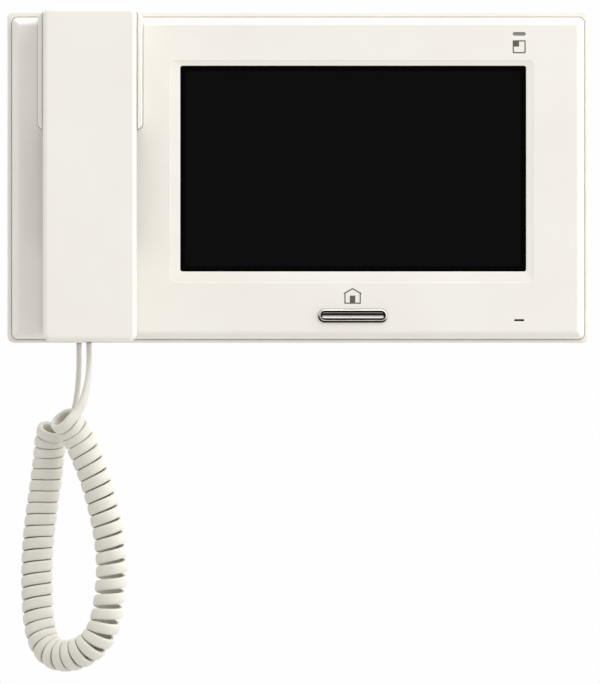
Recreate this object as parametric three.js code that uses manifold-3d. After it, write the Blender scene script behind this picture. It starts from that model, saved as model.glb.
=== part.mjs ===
// A wall-mounted video intercom monitor with a corded handset.
//
// Units are millimetres. The back of the wall bracket lies in the plane y = 0 and +Y points into
// the wall. +X is to the right for a person facing the screen and +Z is up. The origin is the
// middle of the monitor's outline on the wall plane. A "depth" is a distance out from the wall,
// so a point at depth d has y = -d.

import * as THREE from 'three';
import { ConvexGeometry } from 'three/addons/geometries/ConvexGeometry.js';
import { mergeVertices } from 'three/addons/utils/BufferGeometryUtils.js';
import Module from 'manifold-3d';

const manifold = await Module();
manifold.setup();

// ---------------------------------------------------------------- driving dimensions

const GAP = 0.3;                 // clearance between neighbouring pieces
const FIT = 0.4;                 // clearance around the wall bracket and the display panel
const PAST = 1;                  // how far a cutting tool runs on past a face
const ARC_STEPS = 2;             // a quarter-round corner has twice this many segments
const EDGE_STEPS = 3;            // rings in a rounded front edge

// Rear housing: a tray whose rim stands around the front cover.
const BODY = { left: -130.05, right: 130.05, bottom: -74.2, top: 74.2 };
const BODY_CORNER = 3;
const HOUSING_CAVITY = { left: -128.25, right: 128.25, bottom: -72.75, top: 71.6 };
const CAVITY_CORNER = 1.6;
const HOUSING_BACK = 0.4;        // depth of the housing's back face, just off the wall
const HOUSING_FLOOR = 3.8;       // depth of the inside of its back wall
const RIM_DEPTH = 21;            // depth of the front of its rim
const BACK_VENT = { x: 99, firstZ: -18, pitch: 7.2, count: 6, width: 30, height: 2.4 };
const TOP_VENT = { firstX: -18, pitch: 9, count: 9, width: 6, back: 8, front: 10.2 };
const CABLE_WINDOW_CORNER = 2;
const JACK_MOUTH = 7.6;          // width of the opening below each jack
const HEAD_BORE = 3.1;           // radius of the bore that sinks a screw's head
const HEAD_BORE_DEPTH = 2.6;
const SHAFT_HOLE = 1.7;          // radius of the hole for a housing screw

// Front cover: a shallow lid that nests inside the rim.
const COVER = { left: -127.85, right: 127.85, bottom: -72.35, top: 71.2 };
const COVER_CORNER = 1.8;
const COVER_FRONT = 28;
const COVER_INSIDE = 25.8;
const COVER_BACK = 15;
const COVER_SKIRT = 1.6;
const COVER_EDGE_ROUND = 2.1;

// Screen window with its sloping surround.
const WINDOW = { left: -52.7, right: 101.9, bottom: -42.3, top: 49.7 };
const SURROUND = { left: -57, right: 105, bottom: -47.1, top: 52 };
const SURROUND_DROP = 0.8;       // how far the surround slopes in from the cover's front
const GLASS_THICKNESS = 1.6;
const GLASS_OVERLAP = 2.8;       // how far the glass runs behind the window's edge
const PANEL = { left: -57.9, right: 107.1, bottom: -46.3, top: 53.7 };
const PANEL_FRONT = 23.6;
const PANEL_BACK = 18.2;
const FRAME_REACH = 1.6;         // how far the metal frame stands out round and behind the panel
const FRAME_WINDOWS = { columns: [-38, 24.6, 87], z: 3.7, width: 46, height: 70, corner: 4 };

// Main circuit board behind the display.
const BOARD = { left: -54, right: 117, bottom: -69, top: 68 };
const BOARD_BACK = 12.4;
const BOARD_FRONT = 14;
const BOARD_POSTS = [[-50, 62], [112, 62], [-50, -62], [112, -62]];
const BOARD_CORNER = 2;
const BOARD_POST_RADIUS = 3;
const BOARD_PILOT = { radius: 1.4, front: 22 };
const BOARD_HOLE_RADIUS = 1.6;
const CORNER_POSTS = [[-121, 62], [121, 62], [-121, -62], [121, -62]];
const CORNER_POST_RADIUS = 3.2;
const CORNER_PILOT = { radius: 1.6, front: 16 };
const SHIELD = { x: 62, z: 22, width: 56, height: 40, thickness: 5 };
const TERMINAL = { z: -20, pitch: 5, height: 9, back: 5, width: 3.2, entryHeight: 2.8, entryFront: 9 };
const TERMINAL_SCREW = { rise: 2.2, radius: 1.5, front: 7 };

// Wall bracket.
const BRACKET = { left: -75, right: 75, bottom: -50, top: 50 };
const BRACKET_THICKNESS = 1.2;
const BRACKET_WINDOW = { left: -30, right: 30, bottom: -32, top: -8 };
const HOUSING_WINDOW = { left: -28, right: 28, bottom: -31, top: -9 };
const HOOKS = [[-60, 28], [60, 28], [-60, -36], [60, -36]];
const HOOK_WIDTH = 12;
const HOOK_LIP = 4.4;            // how far a hook's lip rises above its stem
const TONGUE_HALF_WIDTH = 9;
const TONGUE_BOTTOM = -70.2;
const BRACKET_CORNER = 4;
const BRACKET_WINDOW_CORNER = 3;
const HOOK_THICKNESS = 1.2;
const HOOK_ROOT = 0.5;           // depth at which a hook's stem joins the plate
const HOOK_FRONT = 5.4;
const TAB_FRONT = 11.6;          // depth to which the tongue's tab is bent out
const WALL_SCREW_SPACING = 83.5; // the usual spacing of a flush wall box
const WALL_SLOT = { width: 10, height: 4.6 };
const WALL_HOLES = [[-67, 42], [67, 42], [-67, -42], [67, -42]];
const WALL_HOLE_RADIUS = 2.3;
const LOCK_DEPTH = 7;            // depth of the locking screw's axis
const LOCK_TAB_HOLE = 1.5;
const LOCK_BOSS = { radius: 4.4, bottom: -73.5, top: -70.7 };
const LOCK_HEAD_SEAT = -72.2;

// Talk button under the screen, and the two small marks at the right.
const BUTTON = { x: 24.5, z: -62, width: 28.1, height: 3.9 };
const BUTTON_FRONT = 28.9;
const BEZEL_WIDTH = 31.5;
const BEZEL_HEIGHT = 6.3;
const STATUS_LIGHT = { x: 98.8, z: 63.9, width: 5.8, height: 1.5 };
const MICROPHONE = { x: 98.8, z: -64.05, width: 4.5, height: 0.9 };
const LIGHT_PIPE_FOOT = { width: 7, height: 4, back: 16.4, front: 19 };
const STATUS_LED = { width: 3.2, height: 1.6, front: 15.6 };
const MICROPHONE_CAPSULE = { radius: 3, back: 21.2, front: 23.9 };
const MICROPHONE_BOOT = { radius: 4.4, bore: 3.3, boreFront: 24.2, port: 1 };
const BUTTON_RETAINER = { overlap: 1.2, back: 23.8, front: 24.7 };
const BUTTON_STEM = { radius: 1.5, back: 19.4 };
const TALK_SWITCH = { size: 6, front: 17.3, plungerRadius: 1.7, plungerFront: 18.3 };

// Handset, on its own centre line.
const HANDSET_X = -92.9;
const HANDSET = { left: -20.85, right: 20.85, bottom: -73.53, top: 75.72 };
const HANDSET_CORNER = 3.6;
const HANDSET_EDGE_ROUND = 2.2;
const HANDSET_FRONT = 50;
const HANDSET_SPLIT = 39.7;      // depth of the joint line between its two shells
const HANDSET_SHELL = 2;
const EAR_BACK = 31.9;
const GRIP_BACK = 36.5;
const MOUTH_BACK = 28.6;
const EAR_BOTTOM = 24;
const GRIP_TOP = 10;
const GRIP_BOTTOM = -24;
const MOUTH_TOP = -40;
const EAR_CENTRE = 51;
const EAR_CAP_RADIUS = 14.5;
const EAR_CAP_BACK = 29.4;
const MOUTH_CENTRE = -49;
const HANDSET_SCREWS = [[0, 70], [-15, -66], [15, -66]];
const HANDSET_HEAD_BORE = { radius: 2.9, depth: 2.4 };
const HANDSET_SHAFT_HOLE = { radius: 1.6, depth: 9 };
const HANDSET_POST = { radius: 3, pilot: 1.4, pilotFront: 46 };
const HANDSET_BOSS_RADIUS = 4;
const HANDSET_HEAD_SUNK = 0.3;   // how far a screw's head sits below the back's face
const EAR_HOLES = { ring: 6, count: 6 };
const MOUTH_HOLES = { ring: 3, count: 4 };
const SOUND_HOLE_RADIUS = 0.9;
const HANDSET_WEIGHT = { z: -7, width: 26, height: 46, back: 40, front: 46 };

// Cradle for the earpiece end of the handset.
const CRADLE = { left: -116.2, right: -69.5, bottom: 21.3, top: 73.8 };
const CRADLE_CORNER = 2.6;
const CRADLE_CHANNEL = { left: -114.1, right: -71.7 };
const CRADLE_FLOOR = 31.5;
const CRADLE_FRONT = 40;
const HOOK_PLUNGER_Z = 29.5;
const PLUNGER = { width: 7, height: 5, back: 20.5 };
const PLUNGER_FLANGE = { width: 10, height: 8, front: 21.5 };
const PLUNGER_HOLE = { width: 7.8, height: 5.8 };
const HOOK_SWITCH = { width: 12.8, height: 6, back: 12.9, front: 19.2 };
const HOOK_SWITCH_BUTTON = { width: 3, height: 2, front: 20.2 };
const HOOK_BOARD = { z: 32, width: 44, height: 22, back: 11, front: 12.6 };

// Loudspeaker behind the slots that the handset covers.
const SPEAKER_Z = -7;
const SPEAKER_RADIUS = 20;
const SPEAKER_SLOTS = { reach: 16, pitch: 3.8, height: 1.7, perSide: 3 };
const MAGNET = { radius: 11, back: 12, front: 6.9 }; // depths behind the speaker's front

// Handset cord: a flat lead at each end and a curly middle, whose outer shape is modelled here.
const CORD_WIDTH = 5.2;
const CORD_THICKNESS = 2.3;
const COIL_RADIUS = 7.15;
const PLUG_BOTTOM = -73.6;
const BASE_PLUG_X = -98.1;
const BASE_PLUG_DEPTH = 9.2;
const JACK_MOUTH_HALF = 4.6;     // half the depth of the opening below each jack
const HANDSET_PLUG_X = -93.4;
const HANDSET_PLUG_DEPTH = 38;

const BASE_LEAD_ROUTE = [
  [-98.1, -9.2, -73.9], [-98.1, -9.2, -80], [-98.2, -9.2, -87], [-98.8, -9, -95],
  [-99.9, -8.5, -102], [-101.3, -7.8, -106.6], [-103.2, -7.2, -110.4],
];
const COIL_ROUTE = [
  [-109.4, -16.2, -112.5], [-110.6, -13.6, -116.2], [-111.2, -11.9, -120.8], [-111.7, -10.9, -126.2],
  [-112.5, -10.4, -133], [-113.8, -10.2, -142], [-115.3, -10.4, -153], [-116.4, -10.8, -164],
  [-116.9, -11.3, -176], [-116.8, -11.9, -186], [-116.4, -12.6, -194.5], [-115.5, -13.5, -201.6],
  [-113.8, -15, -207.6], [-111, -17.2, -211.8], [-107, -20, -214], [-102, -23, -214],
  [-97, -25.6, -212.5], [-92.2, -27.4, -209.3], [-88.6, -28.3, -204.8], [-86.3, -28.6, -199.2],
  [-84.8, -28.7, -192.4], [-83.8, -28.8, -184.4], [-83.2, -29, -174], [-84.2, -29.4, -162],
  [-86.5, -29.8, -149.5], [-90, -30.2, -136.8], [-94, -30.7, -125.8], [-98.2, -31.6, -116.6],
  [-101.4, -33.4, -111.4], [-104.8, -36.4, -107.6],
];
const HANDSET_LEAD_ROUTE = [
  [-93.4, -38, -73.9], [-93.3, -38.1, -79], [-93.3, -38.4, -84.5], [-93.8, -38.9, -90.5],
  [-94.9, -39.4, -96.3], [-96.1, -39.8, -100.5], [-97.7, -40.1, -103.6],
];
const COIL_STEPS = 36;
const COIL_SIDES = 12;
const LEAD_STEPS = 8;
const LEAD_SIDES = 8;

// Finishes, as colour, roughness and metalness.
const FINISHES = {
  whitePlastic: { color: 0xf0ede6, roughness: 0.45, metalness: 0 },
  cordPlastic: { color: 0xe6e2d8, roughness: 0.5, metalness: 0 },
  clearPlastic: { color: 0xb9bcbb, roughness: 0.2, metalness: 0 },
  blackPlastic: { color: 0x1d1d1e, roughness: 0.5, metalness: 0 },
  rubber: { color: 0x2b2b2b, roughness: 0.9, metalness: 0 },
  blackGlass: { color: 0x0c0c0d, roughness: 0.08, metalness: 0 },
  board: { color: 0x1f5b3a, roughness: 0.6, metalness: 0 },
  chrome: { color: 0xd8d8d8, roughness: 0.08, metalness: 1 },
  zincSteel: { color: 0xa9adb0, roughness: 0.4, metalness: 1 },
  paper: { color: 0x34322f, roughness: 0.95, metalness: 0 },
};

// ---------------------------------------------------------------- solids

// The signed volume of an indexed triangle mesh, negative when its faces point inwards.
function signedVolume(positions, index) {
  const corners = [new THREE.Vector3(), new THREE.Vector3(), new THREE.Vector3()];
  let volume = 0;
  for (let i = 0; i < index.length; i += 3) {
    corners.forEach((corner, k) => corner.fromArray(positions, 3 * index[i + k]));
    volume += corners[0].dot(corners[1].cross(corners[2])) / 6;
  }
  return volume;
}

function solidFrom(geometry) {
  geometry.deleteAttribute('normal');
  geometry.deleteAttribute('uv');
  const merged = mergeVertices(geometry, 1e-4);
  const positions = merged.attributes.position.array;
  const index = Uint32Array.from(merged.index.array);
  if (signedVolume(positions, index) < 0) {
    index.reverse();
  }
  const mesh = new manifold.Mesh({ numProp: 3, vertProperties: positions, triVerts: index });
  return new manifold.Manifold(mesh);
}

function geometryFrom(solid) {
  const mesh = solid.getMesh();
  const geometry = new THREE.BufferGeometry();
  geometry.setAttribute('position', new THREE.BufferAttribute(Float32Array.from(mesh.vertProperties), 3));
  geometry.setIndex(new THREE.BufferAttribute(Uint32Array.from(mesh.triVerts), 1));
  geometry.computeVertexNormals();
  return geometry;
}

function cut(solid, ...tools) {
  return tools.flat().reduce((rest, tool) => rest.subtract(tool), solid);
}

function join(solid, ...others) {
  return others.flat().reduce((whole, other) => whole.add(other), solid);
}

// ---------------------------------------------------------------- outlines and simple shapes

function rectAround(x, z, width, height) {
  return { left: x - width / 2, right: x + width / 2, bottom: z - height / 2, top: z + height / 2 };
}

function grow(rect, amount) {
  return {
    left: rect.left - amount,
    right: rect.right + amount,
    bottom: rect.bottom - amount,
    top: rect.top + amount,
  };
}

function roundedOutline(rect, radius) {
  const { left, right, bottom, top } = rect;
  const outline = new THREE.Shape();
  outline.moveTo(left + radius, bottom);
  outline.lineTo(right - radius, bottom);
  outline.absarc(right - radius, bottom + radius, radius, -Math.PI / 2, 0);
  outline.lineTo(right, top - radius);
  outline.absarc(right - radius, top - radius, radius, 0, Math.PI / 2);
  outline.lineTo(left + radius, top);
  outline.absarc(left + radius, top - radius, radius, Math.PI / 2, Math.PI);
  outline.lineTo(left, bottom + radius);
  outline.absarc(left + radius, bottom + radius, radius, Math.PI, 1.5 * Math.PI);
  return outline;
}

// Sweeps an outline drawn in X and Z out from the wall, from one depth to another.
function sweep(outline, backDepth, frontDepth) {
  const geometry = new THREE.ExtrudeGeometry(outline, {
    depth: frontDepth - backDepth,
    bevelEnabled: false,
    curveSegments: ARC_STEPS,
  });
  geometry.rotateX(Math.PI / 2);
  geometry.translate(0, -backDepth, 0);
  return solidFrom(geometry);
}

function slab(rect, radius, backDepth, frontDepth) {
  return sweep(roundedOutline(rect, radius), backDepth, frontDepth);
}

// The points of a rounded rectangle at one depth.
function outlinePoints(rect, radius, depth) {
  const outline = roundedOutline(rect, radius).extractPoints(ARC_STEPS).shape;
  return outline.map((point) => new THREE.Vector3(point.x, -depth, point.y));
}

// A slab whose front edge is rounded: the hull of its back outline and a quarter round of rings.
function roundFrontSlab(rect, radius, backDepth, frontDepth, edgeRound) {
  const points = outlinePoints(rect, radius, backDepth);
  for (let step = 0; step <= EDGE_STEPS; step += 1) {
    const angle = (Math.PI / 2) * (step / EDGE_STEPS);
    const inset = edgeRound * (1 - Math.cos(angle));
    const depth = frontDepth - edgeRound * (1 - Math.sin(angle));
    points.push(...outlinePoints(grow(rect, -inset), Math.max(radius - inset, 0.4), depth));
  }
  return solidFrom(new ConvexGeometry(points));
}

function block(rect, backDepth, frontDepth) {
  const width = rect.right - rect.left;
  const height = rect.top - rect.bottom;
  const geometry = new THREE.BoxGeometry(width, frontDepth - backDepth, height);
  geometry.translate(rect.left + width / 2, -(backDepth + frontDepth) / 2, rect.bottom + height / 2);
  return solidFrom(geometry);
}

// A stadium shape, long in X.
function pill(x, z, width, height, backDepth, frontDepth) {
  return slab(rectAround(x, z, width, height), height / 2 - 0.001, backDepth, frontDepth);
}

// A round bar standing out from the wall.
function rod(x, z, radius, backDepth, frontDepth, sides = 12) {
  const geometry = new THREE.CylinderGeometry(radius, radius, frontDepth - backDepth, sides);
  geometry.translate(x, -(backDepth + frontDepth) / 2, z);
  return solidFrom(geometry);
}

// A round bar along Z.
function uprightRod(x, depth, radius, bottom, top, sides = 12) {
  const geometry = new THREE.CylinderGeometry(radius, radius, top - bottom, sides);
  geometry.rotateX(Math.PI / 2);
  geometry.translate(x, -depth, (bottom + top) / 2);
  return solidFrom(geometry);
}

// A turned piece from [radius, height] points, its axis along Z and its foot at the origin.
function turned(profile, sides = 20) {
  const geometry = new THREE.LatheGeometry(profile.map(([r, h]) => new THREE.Vector2(r, h)), sides);
  geometry.rotateX(Math.PI / 2);
  return solidFrom(geometry);
}

// A turned piece standing out from the wall, from [radius, depth] points.
function turnedOutward(profile, x, z, sides = 20) {
  const geometry = new THREE.LatheGeometry(profile.map(([r, d]) => new THREE.Vector2(r, -d)), sides);
  geometry.translate(x, 0, z);
  return solidFrom(geometry);
}

// ---------------------------------------------------------------- the scene graph

const monitor = new THREE.Group();
const handset = new THREE.Group();
handset.position.x = HANDSET_X;
monitor.add(handset);

function addPiece(name, solid, finish, group = monitor) {
  const mesh = new THREE.Mesh(geometryFrom(solid), new THREE.MeshStandardMaterial(finish));
  mesh.name = name;
  group.add(mesh);
  return mesh;
}

// ---------------------------------------------------------------- screws

const SCREW_HEAD_HEIGHT = 1.7;
const RECESS_DEPTH = 0.9;
const RECESS_LENGTH = 3;
const RECESS_WIDTH = 0.8;

// Head radius, shaft radius and length of each kind of screw.
const HOUSING_SCREW = { head: 2.8, shaft: 1.3, length: 13 };
const LOCK_SCREW = { head: 2.8, shaft: 1.2, length: 9 };
const BOARD_SCREW = { head: 2.6, shaft: 1.1, length: 9 };
const HANDSET_SCREW = { head: 2.5, shaft: 1.1, length: 12 };

// A pan-head screw with a cross recess. Its head's top is at the origin and its tip points down.
function screwSolid({ head, shaft, length }, sides = 10) {
  const body = turned([
    [0, -length],
    [shaft * 0.5, -length],
    [shaft, -length + shaft],
    [shaft, -SCREW_HEAD_HEIGHT],
    [head, -SCREW_HEAD_HEIGHT],
    [head, -SCREW_HEAD_HEIGHT * 0.4],
    [head * 0.7, 0],
    [0, 0],
  ], sides);
  const arms = [[RECESS_LENGTH, RECESS_WIDTH], [RECESS_WIDTH, RECESS_LENGTH]].map(([width, depth]) => {
    return solidFrom(new THREE.BoxGeometry(width, depth, 2 * RECESS_DEPTH));
  });
  return cut(body, arms);
}

const HEAD_TOWARDS_WALL = new THREE.Euler(-Math.PI / 2, 0, 0);
const HEAD_DOWN = new THREE.Euler(Math.PI, 0, 0);

function addScrew(name, solid, rotation, position, group = monitor) {
  const screw = addPiece(name, solid, FINISHES.zincSteel, group);
  screw.rotation.copy(rotation);
  screw.position.set(...position);
}

// ---------------------------------------------------------------- wall bracket

function wallScrewHoles() {
  const slots = [-1, 1].map((side) => {
    const place = rectAround(0, side * WALL_SCREW_SPACING / 2, WALL_SLOT.width, WALL_SLOT.height);
    return slab(place, WALL_SLOT.height / 2 - 0.1, -PAST, BRACKET_THICKNESS + PAST);
  });
  const holes = WALL_HOLES.map(([x, z]) => rod(x, z, WALL_HOLE_RADIUS, -PAST, BRACKET_THICKNESS + PAST));
  return [...slots, ...holes];
}

function bracketHook([x, z]) {
  const foot = rectAround(x, z, HOOK_WIDTH, HOOK_THICKNESS);
  const stem = block(foot, HOOK_ROOT, HOOK_FRONT);
  const lip = block({ ...foot, top: z + HOOK_LIP }, HOOK_FRONT - HOOK_THICKNESS, HOOK_FRONT);
  return join(stem, lip);
}

function makeWallBracket() {
  const plate = slab(BRACKET, BRACKET_CORNER, 0, BRACKET_THICKNESS);
  const tongueRect = {
    left: -TONGUE_HALF_WIDTH,
    right: TONGUE_HALF_WIDTH,
    bottom: TONGUE_BOTTOM,
    top: BRACKET.bottom + PAST,
  };
  const tongue = block(tongueRect, 0, BRACKET_THICKNESS);
  const tab = block({ ...tongueRect, top: TONGUE_BOTTOM + BRACKET_THICKNESS }, 0, TAB_FRONT);
  const windowCut = slab(BRACKET_WINDOW, BRACKET_WINDOW_CORNER, -PAST, BRACKET_THICKNESS + PAST);
  const tabTop = TONGUE_BOTTOM + BRACKET_THICKNESS;
  const lockHole = uprightRod(0, LOCK_DEPTH, LOCK_TAB_HOLE, TONGUE_BOTTOM - PAST, tabTop + PAST);
  const whole = join(plate, tongue, tab, HOOKS.map(bracketHook));
  addPiece('wall_bracket', cut(whole, windowCut, lockHole, wallScrewHoles()), FINISHES.zincSteel);
}

// ---------------------------------------------------------------- rear housing

function backVents() {
  const { x, firstZ, pitch, count, width, height } = BACK_VENT;
  const rows = Array.from({ length: count }, (_, i) => firstZ + pitch * i);
  return [-1, 1].flatMap((side) => rows.map((z) => {
    return block(rectAround(side * x, z, width, height), -PAST, HOUSING_FLOOR + PAST);
  }));
}

function topVents() {
  const { firstX, pitch, count, width, back, front } = TOP_VENT;
  return Array.from({ length: count }, (_, i) => {
    const left = firstX + pitch * i;
    const place = { left, right: left + width, bottom: HOUSING_CAVITY.top - PAST, top: BODY.top + PAST };
    return block(place, back, front);
  });
}

function bracketRecess() {
  const recessFront = BRACKET_THICKNESS + FIT;
  const plate = slab(grow(BRACKET, FIT), BRACKET_CORNER + FIT, -PAST, recessFront);
  const tongue = {
    left: -TONGUE_HALF_WIDTH - FIT,
    right: TONGUE_HALF_WIDTH + FIT,
    bottom: TONGUE_BOTTOM - FIT,
    top: BRACKET.bottom,
  };
  const tabSlot = { ...tongue, top: TONGUE_BOTTOM + BRACKET_THICKNESS + FIT };
  return [
    plate,
    block(tongue, -PAST, recessFront),
    block(tabSlot, -PAST, HOUSING_FLOOR + PAST),
  ];
}

// Each slot lets a hook's lip pass, then its upper edge comes to rest on the hook's stem.
function hookSlots() {
  return HOOKS.map(([x, z]) => {
    const slot = {
      left: x - HOOK_WIDTH / 2 - FIT,
      right: x + HOOK_WIDTH / 2 + FIT,
      bottom: z - HOOK_LIP - HOOK_THICKNESS - 0.7,
      top: z + HOOK_THICKNESS / 2 + GAP,
    };
    return block(slot, -PAST, HOUSING_FLOOR + PAST);
  });
}

function makeRearHousing() {
  const shell = cut(
    slab(BODY, BODY_CORNER, HOUSING_BACK, RIM_DEPTH),
    slab(HOUSING_CAVITY, CAVITY_CORNER, HOUSING_FLOOR, RIM_DEPTH + PAST),
  );
  const lockBoss = uprightRod(0, LOCK_DEPTH, LOCK_BOSS.radius, LOCK_BOSS.bottom, LOCK_BOSS.top);
  const cornerHoles = CORNER_POSTS.flatMap(([x, z]) => [
    rod(x, z, HEAD_BORE, -PAST, HEAD_BORE_DEPTH),
    rod(x, z, SHAFT_HOLE, -PAST, HOUSING_FLOOR + PAST),
  ]);
  const lockHoles = [
    uprightRod(0, LOCK_DEPTH, HEAD_BORE, BODY.bottom - PAST, LOCK_HEAD_SEAT),
    uprightRod(0, LOCK_DEPTH, SHAFT_HOLE, BODY.bottom - PAST, LOCK_BOSS.top + PAST),
  ];
  const mouth = {
    ...rectAround(BASE_PLUG_X, 0, JACK_MOUTH, 0),
    bottom: BODY.bottom - PAST,
    top: HOUSING_CAVITY.bottom + PAST,
  };
  const jackHole = block(mouth, BASE_PLUG_DEPTH - JACK_MOUTH_HALF, BASE_PLUG_DEPTH + JACK_MOUTH_HALF);
  const cableWindow = slab(HOUSING_WINDOW, CABLE_WINDOW_CORNER, -PAST, HOUSING_FLOOR + PAST);
  const housing = cut(
    join(shell, lockBoss),
    cornerHoles,
    lockHoles,
    jackHole,
    cableWindow,
    bracketRecess(),
    hookSlots(),
    backVents(),
    topVents(),
  );
  addPiece('rear_housing', housing, FINISHES.whitePlastic);
}

// ---------------------------------------------------------------- front cover

// The sloping recess around the screen: a tapered plug between two rounded outlines.
function surroundRecess() {
  const above = 1;
  const slope = (key) => (SURROUND[key] - WINDOW[key]) / SURROUND_DROP;
  const levels = [
    { height: -SURROUND_DROP, radius: 1 },
    { height: above, radius: 2.4 },
  ];
  const points = levels.flatMap(({ height, radius }) => {
    const rise = height + SURROUND_DROP;
    const rect = {
      left: WINDOW.left + slope('left') * rise,
      right: WINDOW.right + slope('right') * rise,
      bottom: WINDOW.bottom + slope('bottom') * rise,
      top: WINDOW.top + slope('top') * rise,
    };
    return outlinePoints(rect, radius, COVER_FRONT + height);
  });
  return solidFrom(new ConvexGeometry(points));
}

function speakerSlots() {
  const { reach, pitch, height, perSide } = SPEAKER_SLOTS;
  const slots = [];
  for (let i = -perSide; i <= perSide; i += 1) {
    const length = 2 * Math.sqrt(reach ** 2 - (pitch * i) ** 2);
    const z = SPEAKER_Z + pitch * i;
    slots.push(pill(HANDSET_X, z, length, height, COVER_INSIDE - PAST, COVER_FRONT + PAST));
  }
  return slots;
}

function makeFrontCover() {
  const inside = grow(COVER, -COVER_SKIRT);
  const shell = cut(
    roundFrontSlab(COVER, COVER_CORNER, COVER_BACK, COVER_FRONT, COVER_EDGE_ROUND),
    slab(inside, 1, COVER_BACK - PAST, COVER_INSIDE),
  );
  const root = COVER_INSIDE + 0.5;
  const posts = [
    ...BOARD_POSTS.map(([x, z]) => rod(x, z, BOARD_POST_RADIUS, BOARD_FRONT + GAP, root)),
    ...CORNER_POSTS.map(([x, z]) => rod(x, z, CORNER_POST_RADIUS, HOUSING_FLOOR + FIT, root)),
  ];
  const pilotHoles = [
    ...BOARD_POSTS.map(([x, z]) => rod(x, z, BOARD_PILOT.radius, BOARD_FRONT, BOARD_PILOT.front, 8)),
    ...CORNER_POSTS.map(([x, z]) => rod(x, z, CORNER_PILOT.radius, HOUSING_FLOOR, CORNER_PILOT.front, 8)),
  ];
  const through = [COVER_INSIDE - PAST, COVER_FRONT + PAST];
  const openings = [
    slab(WINDOW, 1, ...through),
    pill(BUTTON.x, BUTTON.z, BUTTON.width + 6 * GAP, BUTTON.height + 6 * GAP, ...through),
    pill(STATUS_LIGHT.x, STATUS_LIGHT.z, STATUS_LIGHT.width, STATUS_LIGHT.height, ...through),
    pill(MICROPHONE.x, MICROPHONE.z, MICROPHONE.width, MICROPHONE.height, ...through),
    block(rectAround(HANDSET_X, HOOK_PLUNGER_Z, PLUNGER_HOLE.width, PLUNGER_HOLE.height), ...through),
  ];
  const cover = cut(join(shell, posts), surroundRecess(), openings, speakerSlots(), pilotHoles);
  addPiece('front_cover', cover, FINISHES.whitePlastic);
}

// ---------------------------------------------------------------- ear cradle and hook switch

function makeEarCradle() {
  const blockSolid = roundFrontSlab(CRADLE, CRADLE_CORNER, COVER_FRONT + GAP, CRADLE_FRONT, 1);
  const lip = block(
    { left: CRADLE.left + 3, right: CRADLE.right - 3, bottom: COVER.top + GAP, top: CRADLE.top },
    RIM_DEPTH + GAP,
    COVER_FRONT + 2 * PAST,
  );
  const channelRect = { ...CRADLE_CHANNEL, bottom: 0, top: CRADLE.top + PAST };
  const channel = block(channelRect, CRADLE_FLOOR, CRADLE_FRONT + PAST);
  const earRecess = rod(HANDSET_X, EAR_CENTRE, EAR_CAP_RADIUS + 0.8, COVER_FRONT - PAST, CRADLE_FRONT, 32);
  const plungerRect = rectAround(HANDSET_X, HOOK_PLUNGER_Z, PLUNGER_HOLE.width, PLUNGER_HOLE.height);
  const plungerHole = block(plungerRect, COVER_FRONT - PAST, CRADLE_FRONT);
  const cradle = cut(join(blockSolid, lip), channel, earRecess, plungerHole);
  addPiece('ear_cradle', cradle, FINISHES.whitePlastic);
}

function makeHookSwitch() {
  const placed = ({ width, height }) => rectAround(HANDSET_X, HOOK_PLUNGER_Z, width, height);
  const stem = slab(placed(PLUNGER), 1, PLUNGER.back, CRADLE_FLOOR);
  const flange = slab(placed(PLUNGER_FLANGE), 1, PLUNGER.back, PLUNGER_FLANGE.front);
  addPiece('hook_plunger', join(stem, flange), FINISHES.whitePlastic);

  const body = block(placed(HOOK_SWITCH), HOOK_SWITCH.back, HOOK_SWITCH.front);
  const button = block(placed(HOOK_SWITCH_BUTTON), HOOK_SWITCH.front - GAP, HOOK_SWITCH_BUTTON.front);
  addPiece('hook_switch', join(body, button), FINISHES.blackPlastic);
  const boardRect = rectAround(HANDSET_X, HOOK_BOARD.z, HOOK_BOARD.width, HOOK_BOARD.height);
  addPiece('hook_board', slab(boardRect, 1.5, HOOK_BOARD.back, HOOK_BOARD.front), FINISHES.board);
}

// ---------------------------------------------------------------- display

function makeDisplay() {
  const glassFront = COVER_INSIDE - GAP;
  const glass = slab(grow(WINDOW, GLASS_OVERLAP), 1.5, glassFront - GLASS_THICKNESS, glassFront);
  addPiece('display_glass', glass, FINISHES.blackGlass);
  addPiece('lcd_panel', slab(PANEL, 1, PANEL_BACK, PANEL_FRONT), FINISHES.blackPlastic);

  const tray = cut(
    slab(grow(PANEL, FRAME_REACH), 1.5, PANEL_BACK - FRAME_REACH, PANEL_FRONT - 1),
    slab(grow(PANEL, FIT), 1.2, PANEL_BACK - FIT, PANEL_FRONT),
  );
  const { columns, z, width, height, corner } = FRAME_WINDOWS;
  const windows = columns.map((x) => {
    return slab(rectAround(x, z, width, height), corner, PANEL_BACK - FRAME_REACH - PAST, PANEL_BACK);
  });
  addPiece('lcd_frame', cut(tray, windows), FINISHES.zincSteel);
}

// ---------------------------------------------------------------- main board and what is on it

function makeMainBoard() {
  const holes = BOARD_POSTS.map(([x, z]) => {
    return rod(x, z, BOARD_HOLE_RADIUS, BOARD_BACK - PAST, BOARD_FRONT + PAST);
  });
  addPiece('main_board', cut(slab(BOARD, BOARD_CORNER, BOARD_BACK, BOARD_FRONT), holes), FINISHES.board);

  const boardScrew = screwSolid(BOARD_SCREW);
  BOARD_POSTS.forEach(([x, z], i) => {
    const headTop = -(BOARD_BACK - GAP - SCREW_HEAD_HEIGHT);
    addScrew(`board_screw_${i + 1}`, boardScrew, HEAD_TOWARDS_WALL, [x, headTop, z]);
  });

  const shieldRect = rectAround(SHIELD.x, SHIELD.z, SHIELD.width, SHIELD.height);
  const shieldFront = BOARD_BACK - GAP;
  const shield = slab(shieldRect, 1, shieldFront - SHIELD.thickness, shieldFront);
  addPiece('board_shield', shield, FINISHES.zincSteel);
}

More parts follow.
